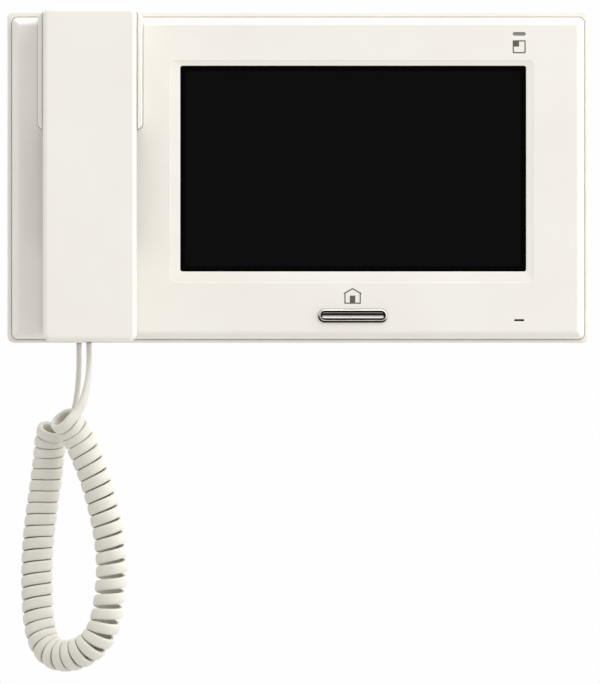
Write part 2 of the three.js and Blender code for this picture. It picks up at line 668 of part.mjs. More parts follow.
// A screw terminal block on the board's back, with its wire entries facing the cable window.
function makeTerminalBlock(name, x, ways) {
  const { z, pitch, height, back, width, entryHeight, entryFront } = TERMINAL;
  const body = block(rectAround(x, z, pitch * ways, height), back, BOARD_BACK - GAP);
  const entries = [];
  for (let i = 0; i < ways; i += 1) {
    const centre = x + pitch * (i + 0.5 - ways / 2);
    entries.push(block(rectAround(centre, z - 2, width, entryHeight), back - PAST, entryFront));
    const { rise, radius, front } = TERMINAL_SCREW;
    entries.push(rod(centre, z + rise, radius, back - PAST, front, 8));
  }
  addPiece(name, cut(body, entries), FINISHES.blackPlastic);
}

function makeStatusLight() {
  const { x, z, width, height } = STATUS_LIGHT;
  const foot = LIGHT_PIPE_FOOT;
  const pipe = join(
    pill(x, z, width - 2 * GAP, height - 2 * GAP, foot.front - PAST, COVER_FRONT - 0.1),
    slab(rectAround(x, z, foot.width, foot.height), 1, foot.back, foot.front),
  );
  addPiece('status_light_pipe', pipe, FINISHES.clearPlastic);
  const ledRect = rectAround(x, z, STATUS_LED.width, STATUS_LED.height);
  const led = block(ledRect, BOARD_FRONT + GAP, STATUS_LED.front);
  addPiece('status_led', led, FINISHES.clearPlastic);
}

function makeMicrophone() {
  const { x, z } = MICROPHONE;
  const boot = cut(
    rod(x, z, MICROPHONE_BOOT.radius, BOARD_FRONT + GAP, COVER_INSIDE - GAP, 20),
    rod(x, z, MICROPHONE_BOOT.bore, BOARD_FRONT, MICROPHONE_BOOT.boreFront, 20),
    rod(x, z, MICROPHONE_BOOT.port, MICROPHONE_BOOT.boreFront - GAP, COVER_INSIDE, 8),
  );
  addPiece('microphone_boot', boot, FINISHES.rubber);
  const capsule = rod(x, z, MICROPHONE_CAPSULE.radius, MICROPHONE_CAPSULE.back, MICROPHONE_CAPSULE.front, 16);
  addPiece('microphone', capsule, FINISHES.zincSteel);
}

// ---------------------------------------------------------------- talk button

function makeTalkButton() {
  const { x, z, width, height } = BUTTON;
  const flange = pill(x, z, BEZEL_WIDTH, BEZEL_HEIGHT, COVER_FRONT + GAP, COVER_FRONT + 3 * GAP);
  const sleeve = pill(x, z, width + 4 * GAP, height + 4 * GAP, COVER_INSIDE - 0.8, COVER_FRONT + 2 * GAP);
  const hole = pill(x, z, width + 2 * GAP, height + 2 * GAP, COVER_INSIDE - 2, BUTTON_FRONT + PAST);
  addPiece('button_bezel', cut(join(flange, sleeve), hole), FINISHES.chrome);

  const { overlap, back, front } = BUTTON_RETAINER;
  const cap = pill(x, z, width, height, back, BUTTON_FRONT);
  const retainer = pill(x, z, width + 2 * overlap, height + 2 * overlap, back, front);
  const stem = rod(x, z, BUTTON_STEM.radius, BUTTON_STEM.back, front);
  addPiece('talk_button', join(cap, retainer, stem), FINISHES.chrome);

  const { size, front: switchFront, plungerRadius, plungerFront } = TALK_SWITCH;
  const body = block(rectAround(x, z, size, size), BOARD_FRONT + GAP, switchFront);
  const plunger = rod(x, z, plungerRadius, switchFront - GAP, plungerFront);
  addPiece('talk_switch', join(body, plunger), FINISHES.blackPlastic);
}

// ---------------------------------------------------------------- loudspeaker

// Sections of the loudspeaker, as [radius, distance behind its front].
const BASKET_SECTION = [
  [SPEAKER_RADIUS, 0], [SPEAKER_RADIUS, 1.4], [18, 1.4], [12.6, 6.6], [6, 6.6],
  [6, 5.4], [11.8, 5.4], [17.4, 0], [SPEAKER_RADIUS, 0],
];
const CONE_SECTION = [
  [0, 4.6], [0, 3.8], [5.6, 3.8], [16, 0.3], [17, 0.3], [16.4, 0.9], [5.6, 4.6], [0, 4.6],
];

function makeLoudspeaker() {
  const front = COVER_INSIDE - GAP;
  const outward = (section) => section.map(([radius, behind]) => [radius, front - behind]);
  const basket = turnedOutward(outward(BASKET_SECTION), HANDSET_X, SPEAKER_Z, 24);
  addPiece('speaker_basket', basket, FINISHES.zincSteel);
  const cone = turnedOutward(outward(CONE_SECTION), HANDSET_X, SPEAKER_Z, 24);
  addPiece('speaker_cone', cone, FINISHES.paper);
  const magnet = rod(HANDSET_X, SPEAKER_Z, MAGNET.radius, front - MAGNET.back, front - MAGNET.front, 24);
  addPiece('speaker_magnet', magnet, FINISHES.zincSteel);
}

// ---------------------------------------------------------------- handset

// The back shell's side view, moved inwards by the wall's thickness for its hollow.
function handsetBackProfile(wall, splitDepth) {
  const top = HANDSET.top + (wall > 0 ? -HANDSET_SHELL : 1);
  const bottom = HANDSET.bottom + (wall > 0 ? HANDSET_SHELL : -1);
  const ear = -(EAR_BACK + wall);
  const grip = -(GRIP_BACK + wall);
  const mouth = -(MOUTH_BACK + wall);
  const profile = new THREE.Shape();
  profile.moveTo(-splitDepth, bottom);
  profile.lineTo(mouth, bottom);
  profile.lineTo(mouth, MOUTH_TOP - wall);
  const mouthEase = (GRIP_BOTTOM - MOUTH_TOP) / 2;
  profile.bezierCurveTo(mouth, MOUTH_TOP + mouthEase, grip, GRIP_BOTTOM - mouthEase, grip, GRIP_BOTTOM);
  profile.lineTo(grip, GRIP_TOP);
  const earEase = (EAR_BOTTOM - GRIP_TOP) / 2;
  profile.bezierCurveTo(grip, GRIP_TOP + earEase, ear, EAR_BOTTOM - earEase, ear, EAR_BOTTOM + wall);
  profile.lineTo(ear, top);
  profile.lineTo(-splitDepth, top);
  return profile;
}

// Sweeps a side view, drawn in Y and Z, across a range of X.
function sweepAcross(profile, left, right) {
  const geometry = new THREE.ExtrudeGeometry(profile, {
    depth: right - left,
    bevelEnabled: false,
    curveSegments: 5,
  });
  const axes = [new THREE.Vector3(0, 1, 0), new THREE.Vector3(0, 0, 1), new THREE.Vector3(1, 0, 0)];
  geometry.applyMatrix4(new THREE.Matrix4().makeBasis(...axes));
  geometry.translate(left, 0, 0);
  return solidFrom(geometry);
}

const HANDSET_PLUG_OFFSET = HANDSET_PLUG_X - HANDSET_X;

function handsetJackHole() {
  const place = rectAround(HANDSET_PLUG_OFFSET, HANDSET.bottom, JACK_MOUTH, 2 * HANDSET_SHELL + 2 * PAST);
  const half = JACK_MOUTH_HALF - 0.2;
  return block(place, HANDSET_PLUG_DEPTH - half, HANDSET_PLUG_DEPTH + half);
}

// The screw boss on the back shell, which is nearer the wall at the mouthpiece than at the earpiece.
function bossFor(z) {
  return z > 0 ? { back: 32.5, front: 36.5 } : { back: 29.2, front: 33.2 };
}

function makeHandsetFront() {
  const inside = grow(HANDSET, -HANDSET_SHELL);
  const shell = cut(
    roundFrontSlab(HANDSET, HANDSET_CORNER, HANDSET_SPLIT, HANDSET_FRONT, HANDSET_EDGE_ROUND),
    slab(inside, 1.8, HANDSET_SPLIT - PAST, HANDSET_FRONT - HANDSET_SHELL),
  );
  const postFront = HANDSET_FRONT - HANDSET_SHELL + 0.5;
  const posts = HANDSET_SCREWS.map(([x, z]) => {
    return rod(x, z, HANDSET_POST.radius, bossFor(z).front + GAP, postFront);
  });
  const { pilot, pilotFront } = HANDSET_POST;
  const pilots = HANDSET_SCREWS.map(([x, z]) => rod(x, z, pilot, MOUTH_BACK, pilotFront, 8));
  const front = cut(join(shell, posts), pilots, handsetJackHole());
  addPiece('handset_front_shell', front, FINISHES.whitePlastic, handset);
}

function soundHoles(z, backDepth, frontDepth, { ring, count }) {
  const holes = [rod(0, z, SOUND_HOLE_RADIUS, backDepth, frontDepth, 6)];
  for (let i = 0; i < count; i += 1) {
    const angle = (2 * Math.PI * i) / count;
    const x = ring * Math.cos(angle);
    holes.push(rod(x, z + ring * Math.sin(angle), SOUND_HOLE_RADIUS, backDepth, frontDepth, 6));
  }
  return holes;
}

function handsetScrewHoles([x, z]) {
  const back = z > 0 ? EAR_BACK : MOUTH_BACK;
  const outside = back - 3 * PAST;
  return [
    rod(x, z, HANDSET_HEAD_BORE.radius, outside, back + HANDSET_HEAD_BORE.depth),
    rod(x, z, HANDSET_SHAFT_HOLE.radius, outside, back + HANDSET_SHAFT_HOLE.depth, 8),
  ];
}

function makeHandsetBack() {
  const splitDepth = HANDSET_SPLIT - GAP;
  const outline = slab(HANDSET, HANDSET_CORNER, MOUTH_BACK - PAST, splitDepth);
  const wide = HANDSET.right + PAST;
  const body = outline.intersect(sweepAcross(handsetBackProfile(0, splitDepth), -wide, wide));
  const half = HANDSET.right - HANDSET_SHELL;
  const hollow = sweepAcross(handsetBackProfile(HANDSET_SHELL - 0.2, splitDepth + PAST), -half, half);
  const earCap = rod(0, EAR_CENTRE, EAR_CAP_RADIUS, EAR_CAP_BACK, EAR_BACK + PAST, 32);
  const earCapHollow = rod(0, EAR_CENTRE, EAR_CAP_RADIUS - 1.8, EAR_CAP_BACK + 1.6, EAR_BACK + 3 * PAST, 32);
  const bosses = HANDSET_SCREWS.map(([x, z]) => {
    return rod(x, z, HANDSET_BOSS_RADIUS, bossFor(z).back, bossFor(z).front);
  });
  const back = cut(
    join(cut(join(body, earCap), hollow, earCapHollow), bosses),
    HANDSET_SCREWS.flatMap(handsetScrewHoles),
    handsetJackHole(),
    soundHoles(EAR_CENTRE, EAR_CAP_BACK - PAST, EAR_BACK + 3 * PAST, EAR_HOLES),
    soundHoles(MOUTH_CENTRE, MOUTH_BACK - PAST, MOUTH_BACK + 3 * PAST, MOUTH_HOLES),
  );
  addPiece('handset_back_shell', back, FINISHES.whitePlastic, handset);
}

// The receiver's section, as [radius, depth].
const RECEIVER_SECTION = [[0, 34.4], [12.4, 34.4], [12.4, 38], [8, 38], [8, 43], [0, 43]];
const GASKET = { radius: 11.8, bore: 9, back: 31.4, front: 34.1 };
const MOUTH_BOOT = { radius: 6.2, bore: 5.1, port: 1.5, back: 30.7, floor: 32, front: 38 };
const MOUTH_CAPSULE = { radius: 4.8, back: 32.4, front: 37.4 };

function makeHandsetInsides() {
  const receiver = turnedOutward(RECEIVER_SECTION, 0, EAR_CENTRE, 24);
  addPiece('earpiece_receiver', receiver, FINISHES.blackPlastic, handset);
  const gasket = cut(
    rod(0, EAR_CENTRE, GASKET.radius, GASKET.back, GASKET.front, 24),
    rod(0, EAR_CENTRE, GASKET.bore, GASKET.back - PAST, GASKET.front + PAST, 24),
  );
  addPiece('earpiece_gasket', gasket, FINISHES.rubber, handset);

  const { radius, bore, port, back, floor, front } = MOUTH_BOOT;
  const boot = cut(
    rod(0, MOUTH_CENTRE, radius, back, front, 20),
    rod(0, MOUTH_CENTRE, bore, floor, front + PAST, 20),
    rod(0, MOUTH_CENTRE, port, back - PAST, floor + PAST, 8),
  );
  addPiece('handset_microphone_boot', boot, FINISHES.rubber, handset);
  const capsule = rod(0, MOUTH_CENTRE, MOUTH_CAPSULE.radius, MOUTH_CAPSULE.back, MOUTH_CAPSULE.front, 20);
  addPiece('handset_microphone', capsule, FINISHES.zincSteel, handset);

  const { z: weightZ, width, height } = HANDSET_WEIGHT;
  const weight = slab(rectAround(0, weightZ, width, height), 2, HANDSET_WEIGHT.back, HANDSET_WEIGHT.front);
  addPiece('handset_weight', weight, FINISHES.zincSteel, handset);

  const screw = screwSolid(HANDSET_SCREW);
  HANDSET_SCREWS.forEach(([x, z], i) => {
    const face = z > 0 ? EAR_BACK : MOUTH_BACK;
    const position = [x, -(face + HANDSET_HEAD_SUNK), z];
    addScrew(`handset_screw_${i + 1}`, screw, HEAD_TOWARDS_WALL, position, handset);
  });
}

// ---------------------------------------------------------------- cord, plugs and jacks

const PLUG_WIDTH = 7.65;
const PLUG_HEIGHT = 5.6;
const PLUG_LENGTH = 12.5;
const PLUG_TOP = PLUG_BOTTOM + PLUG_LENGTH;
const PLUG_TAB = { near: 2.4, far: 3.6, width: 3.2, foot: 1, length: 8 };
const JACK_MOUTH_SIDES = { left: 3.9, right: 3.1 }; // from the plug's middle, the left one clearing its tab
const JACK_SIDES = { left: 5.2, right: 4.6 };
const JACK_HALF_DEPTH = 5.1;
const JACK_ROOF = 3;

// A four-way modular plug pushed up into its jack, its spring tab on the left.
function plugSolid(x, depth) {
  const body = { left: x - PLUG_HEIGHT / 2, right: x + PLUG_HEIGHT / 2, bottom: PLUG_BOTTOM, top: PLUG_TOP };
  const tabFoot = PLUG_BOTTOM + PLUG_TAB.foot;
  const tab = {
    left: x - PLUG_TAB.far,
    right: x - PLUG_TAB.near,
    bottom: tabFoot,
    top: tabFoot + PLUG_TAB.length,
  };
  return join(
    block(body, depth - PLUG_WIDTH / 2, depth + PLUG_WIDTH / 2),
    block(tab, depth - PLUG_TAB.width / 2, depth + PLUG_TAB.width / 2),
  );
}

// The jack is a block with a plug-shaped mouth that opens downwards.
function jackSolid(x, depth, bottom) {
  const body = { left: x - JACK_SIDES.left, right: x + JACK_SIDES.right, bottom, top: PLUG_TOP + JACK_ROOF };
  const mouth = {
    left: x - JACK_MOUTH_SIDES.left,
    right: x + JACK_MOUTH_SIDES.right,
    bottom: bottom - PAST,
    top: PLUG_TOP + GAP,
  };
  const mouthHalf = PLUG_WIDTH / 2 + GAP;
  return cut(
    block(body, depth - JACK_HALF_DEPTH, depth + JACK_HALF_DEPTH),
    block(mouth, depth - mouthHalf, depth + mouthHalf),
  );
}

function tubeAlong(route, halfAcross, halfUp, steps, sides) {
  const section = new THREE.Shape();
  section.absellipse(0, 0, halfAcross, halfUp, 0, 2 * Math.PI);
  const geometry = new THREE.ExtrudeGeometry(section, {
    steps,
    curveSegments: sides / 2,
    extrudePath: new THREE.CatmullRomCurve3(route.map((point) => new THREE.Vector3(...point))),
  });
  return solidFrom(geometry);
}

function makeCord() {
  addPiece('base_plug', plugSolid(BASE_PLUG_X, BASE_PLUG_DEPTH), FINISHES.clearPlastic);
  const baseJack = jackSolid(BASE_PLUG_X, BASE_PLUG_DEPTH, HOUSING_CAVITY.bottom + GAP);
  addPiece('base_jack', baseJack, FINISHES.blackPlastic);

  const handsetPlug = plugSolid(HANDSET_PLUG_OFFSET, HANDSET_PLUG_DEPTH);
  addPiece('handset_plug', handsetPlug, FINISHES.clearPlastic, handset);
  const handsetJackBottom = HANDSET.bottom + HANDSET_SHELL + GAP;
  const handsetJack = jackSolid(HANDSET_PLUG_OFFSET, HANDSET_PLUG_DEPTH, handsetJackBottom);
  addPiece('handset_jack', handsetJack, FINISHES.blackPlastic, handset);

  const leadSection = [CORD_THICKNESS / 2, CORD_WIDTH / 2];
  const baseLead = tubeAlong(BASE_LEAD_ROUTE, ...leadSection, LEAD_STEPS, LEAD_SIDES);
  addPiece('cord_base_lead', baseLead, FINISHES.cordPlastic);
  const handsetLead = tubeAlong(HANDSET_LEAD_ROUTE, ...leadSection, LEAD_STEPS, LEAD_SIDES);
  addPiece('cord_handset_lead', handsetLead, FINISHES.cordPlastic);
  const coil = tubeAlong(COIL_ROUTE, COIL_RADIUS, COIL_RADIUS, COIL_STEPS, COIL_SIDES);
  addPiece('cord_coil', coil, FINISHES.cordPlastic);
}

// ---------------------------------------------------------------- housing screws

const CORNER_SCREW_TOP = 0.6;    // depth of the top of each corner screw's head

function makeHousingScrews() {
  const cornerScrew = screwSolid(HOUSING_SCREW);
  CORNER_POSTS.forEach(([x, z], i) => {
    addScrew(`housing_screw_${i + 1}`, cornerScrew, HEAD_TOWARDS_WALL, [x, -CORNER_SCREW_TOP, z]);
  });
  addScrew('bracket_lock_screw', screwSolid(LOCK_SCREW), HEAD_DOWN, [0, -LOCK_DEPTH, BODY.bottom]);
}

makeWallBracket();
makeRearHousing();
makeFrontCover();
makeEarCradle();
makeHookSwitch();
makeDisplay();
makeMainBoard();
makeTerminalBlock('door_terminal_block', -14, 4);
makeTerminalBlock('power_terminal_block', 14, 4);
makeStatusLight();
makeMicrophone();
makeTalkButton();
makeLoudspeaker();
makeHandsetFront();
makeHandsetBack();
makeHandsetInsides();
makeCord();
makeHousingScrews();

export default monitor;
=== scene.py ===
"""The looks of a wall-mounted video intercom monitor with a corded handset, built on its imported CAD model.

Shapes are worked out in millimetres, in the frame of the CAD model, and each mesh is made in metres.
A depth is a distance out from the wall, so a point at depth d has y = -d.
"""

import math
from collections import namedtuple

import bmesh
import bpy
import numpy as np
from mathutils import Matrix, Vector


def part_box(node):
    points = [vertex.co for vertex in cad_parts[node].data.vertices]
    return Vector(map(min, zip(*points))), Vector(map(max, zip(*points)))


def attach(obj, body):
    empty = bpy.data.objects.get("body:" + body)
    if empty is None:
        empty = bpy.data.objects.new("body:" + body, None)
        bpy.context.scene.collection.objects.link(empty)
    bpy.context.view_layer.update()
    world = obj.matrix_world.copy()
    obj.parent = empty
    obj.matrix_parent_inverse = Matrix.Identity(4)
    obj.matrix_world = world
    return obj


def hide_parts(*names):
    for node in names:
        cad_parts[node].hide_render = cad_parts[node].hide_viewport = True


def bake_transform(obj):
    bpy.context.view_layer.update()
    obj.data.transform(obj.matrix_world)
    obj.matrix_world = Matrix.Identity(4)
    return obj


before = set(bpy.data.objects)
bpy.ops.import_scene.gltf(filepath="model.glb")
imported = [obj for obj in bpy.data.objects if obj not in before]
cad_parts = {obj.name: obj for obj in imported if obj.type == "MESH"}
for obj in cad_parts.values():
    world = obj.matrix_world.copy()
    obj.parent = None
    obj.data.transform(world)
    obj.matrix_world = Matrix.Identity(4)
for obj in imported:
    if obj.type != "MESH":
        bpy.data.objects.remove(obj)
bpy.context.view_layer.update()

MM = 0.001
CORNER_STEPS = 8
LIP_STEPS = 4
SMOOTH_ANGLE = math.radians(32)

Rect = namedtuple("Rect", "left right bottom top")


# ---------------------------------------------------------------- sizes from the CAD model

def rect_of(node):
    low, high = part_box(node)
    return Rect(low.x / MM, high.x / MM, low.z / MM, high.z / MM)


def depths_of(node):
    low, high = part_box(node)
    return -high.y / MM, -low.y / MM


def centre_of(node):
    rect = rect_of(node)
    return (rect.left + rect.right) / 2, (rect.bottom + rect.top) / 2


def grow(rect, amount):
    return Rect(rect.left - amount, rect.right + amount, rect.bottom - amount, rect.top + amount)


def rect_around(x, z, width, height):
    return Rect(x - width / 2, x + width / 2, z - height / 2, z + height / 2)


BODY = rect_of("rear_housing")
BODY_BACK, RIM_FRONT = depths_of("rear_housing")
COVER = rect_of("front_cover")
COVER_FRONT = depths_of("front_cover")[1]
COVER_INSIDE = COVER_FRONT - 2.2
COVER_BACK = 15
GROOVE = 0.4                      # between the housing's rim and the cover
HOUSING_FLOOR = 3.8
GLASS_OVERLAP = 2.8
WINDOW = grow(rect_of("display_glass"), -GLASS_OVERLAP)
SURROUND = Rect(WINDOW.left - 4.3, WINDOW.right + 3.1, WINDOW.bottom - 4.8, WINDOW.top + 2.3)
SURROUND_FLOOR = COVER_FRONT - 0.6
HANDSET = rect_of("handset_front_shell")
HANDSET_X = (HANDSET.left + HANDSET.right) / 2
HANDSET_FRONT = depths_of("handset_front_shell")[1]
HANDSET_SPLIT = 39.7
HANDSET_PLUG_DEPTH = 38
EAR_CENTRE = 51
EAR_RECESS_RADIUS = 15.3
CRADLE = rect_of("ear_cradle")
CRADLE_FRONT = depths_of("ear_cradle")[1]
BUTTON_X, BUTTON_Z = centre_of("button_bezel")
LIGHT_X, LIGHT_Z = centre_of("status_led")
MIC_X, MIC_Z = centre_of("microphone")
PLUNGER_X, PLUNGER_Z = centre_of("hook_plunger")
SPEAKER_X, SPEAKER_Z = centre_of("speaker_magnet")
BRACKET_THICKNESS = 1.2
WALL_SCREW_SPACING = 83.5


# ---------------------------------------------------------------- camera, light and floor

def make_camera():
    """Straight on from far away, so that nothing in front hides what is beside it."""
    data = bpy.data.cameras.new("camera")
    data.lens = 1000
    data.sensor_width = 36
    view_height = 305.7
    distance = view_height * data.lens / data.sensor_width
    camera = bpy.data.objects.new("camera", data)
    camera.location = (0.84 * MM, -(distance + COVER_FRONT) * MM, -73.8 * MM)
    camera.rotation_euler = (math.radians(90), 0, 0)
    data.clip_start = 0.1
    data.clip_end = 50
    bpy.context.scene.collection.objects.link(camera)
    bpy.context.scene.camera = camera


ROOM_STRENGTH = 1.09
# The room is brighter toward its right and its ceiling.
ROOM_SLOPE = (0.52, 0, 0.30)


def make_area_light(name, place, target, width, height, power, colour=(1, 1, 1)):
    data = bpy.data.lights.new(name, "AREA")
    data.shape = "RECTANGLE"
    data.size = width
    data.size_y = height
    data.energy = power
    data.color = colour
    light = bpy.data.objects.new(name, data)
    light.location = place
    light.rotation_euler = (Vector(target) - Vector(place)).to_track_quat("-Z", "Y").to_euler()
    bpy.context.scene.collection.objects.link(light)


def make_world():
    """A white backdrop for the camera, and a bright room for all other rays, dark ahead of the glass."""
    world = bpy.data.worlds.new("studio")
    world.use_nodes = True
    tree = world.node_tree
    room = tree.nodes["Background"]
    room.inputs["Color"].default_value = (1.0, 0.995, 0.985, 1)
    way = tree.nodes.new("ShaderNodeTexCoord")
    axes = tree.nodes.new("ShaderNodeSeparateXYZ")
    ahead = tree.nodes.new("ShaderNodeMapRange")
    ahead.inputs["From Min"].default_value = -0.80
    ahead.inputs["From Max"].default_value = -0.96
    ahead.inputs["To Min"].default_value = ROOM_STRENGTH
    ahead.inputs["To Max"].default_value = ROOM_STRENGTH * 0.06
    slope = tree.nodes.new("ShaderNodeVectorMath")
    slope.operation = "DOT_PRODUCT"
    slope.inputs[1].default_value = ROOM_SLOPE
    lift = tree.nodes.new("ShaderNodeMath")
    lift.inputs[1].default_value = 1
    strength = tree.nodes.new("ShaderNodeMath")
    strength.operation = "MULTIPLY"
    tree.links.new(way.outputs["Generated"], axes.inputs[0])
    tree.links.new(way.outputs["Generated"], slope.inputs[0])
    tree.links.new(slope.outputs["Value"], lift.inputs[0])
    tree.links.new(axes.outputs["Y"], ahead.inputs["Value"])
    tree.links.new(ahead.outputs["Result"], strength.inputs[0])
    tree.links.new(lift.outputs[0], strength.inputs[1])
    tree.links.new(strength.outputs[0], room.inputs["Strength"])
    backdrop = tree.nodes.new("ShaderNodeBackground")
    backdrop.inputs["Color"].default_value = (0.99, 0.99, 0.99, 1)
    path = tree.nodes.new("ShaderNodeLightPath")
    mix = tree.nodes.new("ShaderNodeMixShader")
    tree.links.new(path.outputs["Is Camera Ray"], mix.inputs[0])
    tree.links.new(room.outputs[0], mix.inputs[1])
    tree.links.new(backdrop.outputs[0], mix.inputs[2])
    tree.links.new(mix.outputs[0], tree.nodes["World Output"].inputs["Surface"])
    bpy.context.scene.world = world


# ---------------------------------------------------------------- materials

class Surface:
    """A Principled material with a few shorthands for its procedural detail."""

    def __init__(self, name, colour, roughness, metallic=0.0):
        self.material = bpy.data.materials.new(name)
        self.material.use_nodes = True
        self.tree = self.material.node_tree
        self.shader = self.tree.nodes["Principled BSDF"]
        self.set("Base Color", (*colour, 1))
        self.set("Roughness", roughness)
        self.set("Metallic", metallic)
        self.position = self.add("ShaderNodeTexCoord").outputs["Object"]

    def set(self, socket, value):
        self.shader.inputs[socket].default_value = value

    def add(self, kind, **settings):
        node = self.tree.nodes.new(kind)
        for key, value in settings.items():
            setattr(node, key, value)
        return node

    def link(self, source, target):
        self.tree.links.new(source, target)

    def noise(self, size, detail=2, stretch=(1, 1, 1), vector=None):
        """Noise whose features are about that many millimetres across."""
        mapping = self.add("ShaderNodeMapping")
        mapping.inputs["Scale"].default_value = [1 / (size * MM * s) for s in stretch]
        self.link(vector or self.position, mapping.inputs["Vector"])
        node = self.add("ShaderNodeTexNoise")
        node.inputs["Scale"].default_value = 1
        node.inputs["Detail"].default_value = detail
        self.link(mapping.outputs[0], node.inputs["Vector"])
        return node.outputs["Fac"]

    def between(self, value, low, high, start=0.3, end=0.7):
        node = self.add("ShaderNodeMapRange")
        node.inputs["From Min"].default_value = start
        node.inputs["From Max"].default_value = end
        node.inputs["To Min"].default_value = low
        node.inputs["To Max"].default_value = high
        self.link(value, node.inputs["Value"])
        return node.outputs["Result"]

    def mix(self, factor, first, second):
        node = self.add("ShaderNodeMix", data_type="RGBA")
        self.link(factor, node.inputs["Factor"])
        for socket, colour in (("A", first), ("B", second)):
            target = [s for s in node.inputs if s.name == socket and s.type == "RGBA"][0]
            if isinstance(colour, tuple):
                target.default_value = (*colour, 1)
            else:
                self.link(colour, target)
        return [s for s in node.outputs if s.type == "RGBA"][0]

    def crevice(self, reach, low=0.15, high=0.75):
        """1 in narrow gaps and corners, where shade falls, and 0 on open faces: the mask for painted shade.
        """
        node = self.add("ShaderNodeAmbientOcclusion", samples=6)
        node.inputs["Distance"].default_value = reach * MM
        return self.between(node.outputs["AO"], 1, 0, low, high)

    def facing(self, way, start, end):
        """0 where the surface turns away from a direction and 1 where it turns toward it."""
        normal = self.add("ShaderNodeNewGeometry").outputs["Normal"]
        along = self.add("ShaderNodeVectorMath", operation="DOT_PRODUCT")
        along.inputs[1].default_value = way
        self.link(normal, along.inputs[0])
        return self.between(along.outputs["Value"], 0, 1, start, end)

    def bump(self, height, depth, strength=1.0, normal=None):
        node = self.add("ShaderNodeBump")
        node.inputs["Strength"].default_value = strength
        node.inputs["Distance"].default_value = depth * MM
        self.link(height, node.inputs["Height"])
        if normal:
            self.link(normal, node.inputs["Normal"])
        return node.outputs["Normal"]

    def use(self, socket, value):
        self.link(value, self.shader.inputs[socket])

    def use_colours(self, value, first, second):
        self.use("Base Color", self.mix(self.between(value, 0, 1), first, second))

    def use_roughness(self, value, low, high):
        self.use("Roughness", self.between(value, low, high))


def moulded_plastic(name, colour, seam_dust_and_shade, roughness=0.4, texture=0.012):
    """Fine spark-eroded moulded plastic, slightly uneven in tone, with dust and painted shade in its seams.
    """
    surface = Surface(name, colour, roughness)
    surface.set("Specular IOR Level", 0.42)
    tone = surface.noise(38, detail=3)
    darker = tuple(c * f for c, f in zip(colour, (0.972, 0.966, 0.955)))
    body = surface.mix(surface.between(tone, 0, 1), colour, darker)
    speckle = surface.noise(0.5, detail=3)
    body = surface.mix(surface.between(speckle, 0, 0.35, 0.45, 0.75), body, tuple(c * 0.95 for c in colour))
    # Dust and painted shade: darker in narrow seams and corners, where shade falls.
    body = surface.mix(surface.crevice(0.9), body, seam_dust_and_shade)
    surface.use("Base Color", body)
    worn = surface.between(surface.noise(14, detail=4), roughness - 0.06, roughness + 0.07)
    surface.use("Roughness", worn)
    coarse = surface.bump(surface.noise(2.6, detail=1), texture * 1.6, 0.35)
    surface.use("Normal", surface.bump(surface.noise(0.22, detail=2), texture, 0.6, coarse))
    return surface.material


# Seam colour of the moulded plastic: dust and painted shade.
SEAM_DUST_AND_SHADE = (0.68, 0.65, 0.59)


def make_materials():
    made = {}
    made["white"] = moulded_plastic("housing_plastic", (0.83, 0.807, 0.765), SEAM_DUST_AND_SHADE)
    made["handset"] = moulded_plastic("handset_plastic", (0.84, 0.817, 0.775), SEAM_DUST_AND_SHADE, 0.37, 0.010)
    made["cord"] = cord_plastic()
    made["glass"] = screen_glass()
    made["black"] = black_plastic("black_plastic", (0.018, 0.018, 0.019))
    made["rubber"] = black_plastic("soft_rubber", (0.022, 0.022, 0.023), roughness=0.78)
    made["chrome"] = chrome()
    made["zinc"] = zinc_steel()
    made["screw"] = screw_steel()
    made["board"] = circuit_board()
    made["clear"] = clear_plastic()
    made["print"] = printed_ink()
    made["cloth"] = speaker_cloth()
    made["paper"] = cone_paper()
    return made


def cord_plastic():
    """Soft extruded vinyl: faint lines along the strand, a satin skin, and painted shade between the turns
    and inside the coil.
    """
    base = (0.70, 0.685, 0.63)
    surface = Surface("cord_plastic", base, 0.42)
    surface.set("Specular IOR Level", 0.45)
    strand = surface.add("ShaderNodeUVMap", uv_map="strand").outputs[0]
    lines = surface.noise(1, detail=2, stretch=(30, 0.16, 1), vector=strand)
    tone = surface.noise(9, detail=3)
    body = surface.mix(surface.between(tone, 0, 1), base, (0.66, 0.64, 0.58))
    body = surface.mix(surface.between(lines, 0, 0.22, 0.4, 0.7), body, (0.61, 0.587, 0.527))
    # Painted shade: dark brown in the gaps between the turns and inside the coil.
    body = surface.mix(surface.crevice(3.5, 0.05, 0.55), body, (0.30, 0.275, 0.22))
    surface.use("Base Color", body)
    surface.use_roughness(surface.noise(5, detail=3), 0.36, 0.5)
    surface.use("Normal", surface.bump(lines, 0.03, 0.5, surface.bump(surface.noise(0.5), 0.01, 0.5)))
    return surface.material


def screen_glass():
    """A dark touch panel: a black printed border round a slightly lighter picture area, with faint dust."""
    border = (0.0014, 0.0014, 0.0015)
    surface = Surface("screen_glass", border, 0.05)
    surface.set("IOR", 1.45)
    surface.set("Specular IOR Level", 0.22)
    axes = surface.add("ShaderNodeSeparateXYZ")
    surface.link(surface.position, axes.inputs[0])
    inside = None
    picture = grow(WINDOW, -2.4)
    for axis, low, high in (("X", picture.left, picture.right), ("Z", picture.bottom, picture.top)):
        offset = surface.add("ShaderNodeMath", operation="SUBTRACT")
        surface.link(axes.outputs[axis], offset.inputs[0])
        offset.inputs[1].default_value = (low + high) / 2 * MM
        size = surface.add("ShaderNodeMath", operation="ABSOLUTE")
        surface.link(offset.outputs[0], size.inputs[0])
        half = (high - low) / 2 * MM
        within = surface.between(size.outputs[0], 1, 0, half - 0.25 * MM, half + 0.25 * MM)
        if inside is None:
            inside = within
        else:
            both = surface.add("ShaderNodeMath", operation="MULTIPLY")
            surface.link(inside, both.inputs[0])
            surface.link(within, both.inputs[1])
            inside = both.outputs[0]
    body = surface.mix(inside, border, (0.0038, 0.0038, 0.0038))
    dust = surface.between(surface.noise(0.6, detail=3), 0, 0.012, 0.68, 0.85)
    surface.use("Base Color", surface.mix(dust, body, (0.35, 0.34, 0.32)))
    surface.use_roughness(surface.noise(24, detail=4), 0.03, 0.1)
    return surface.material


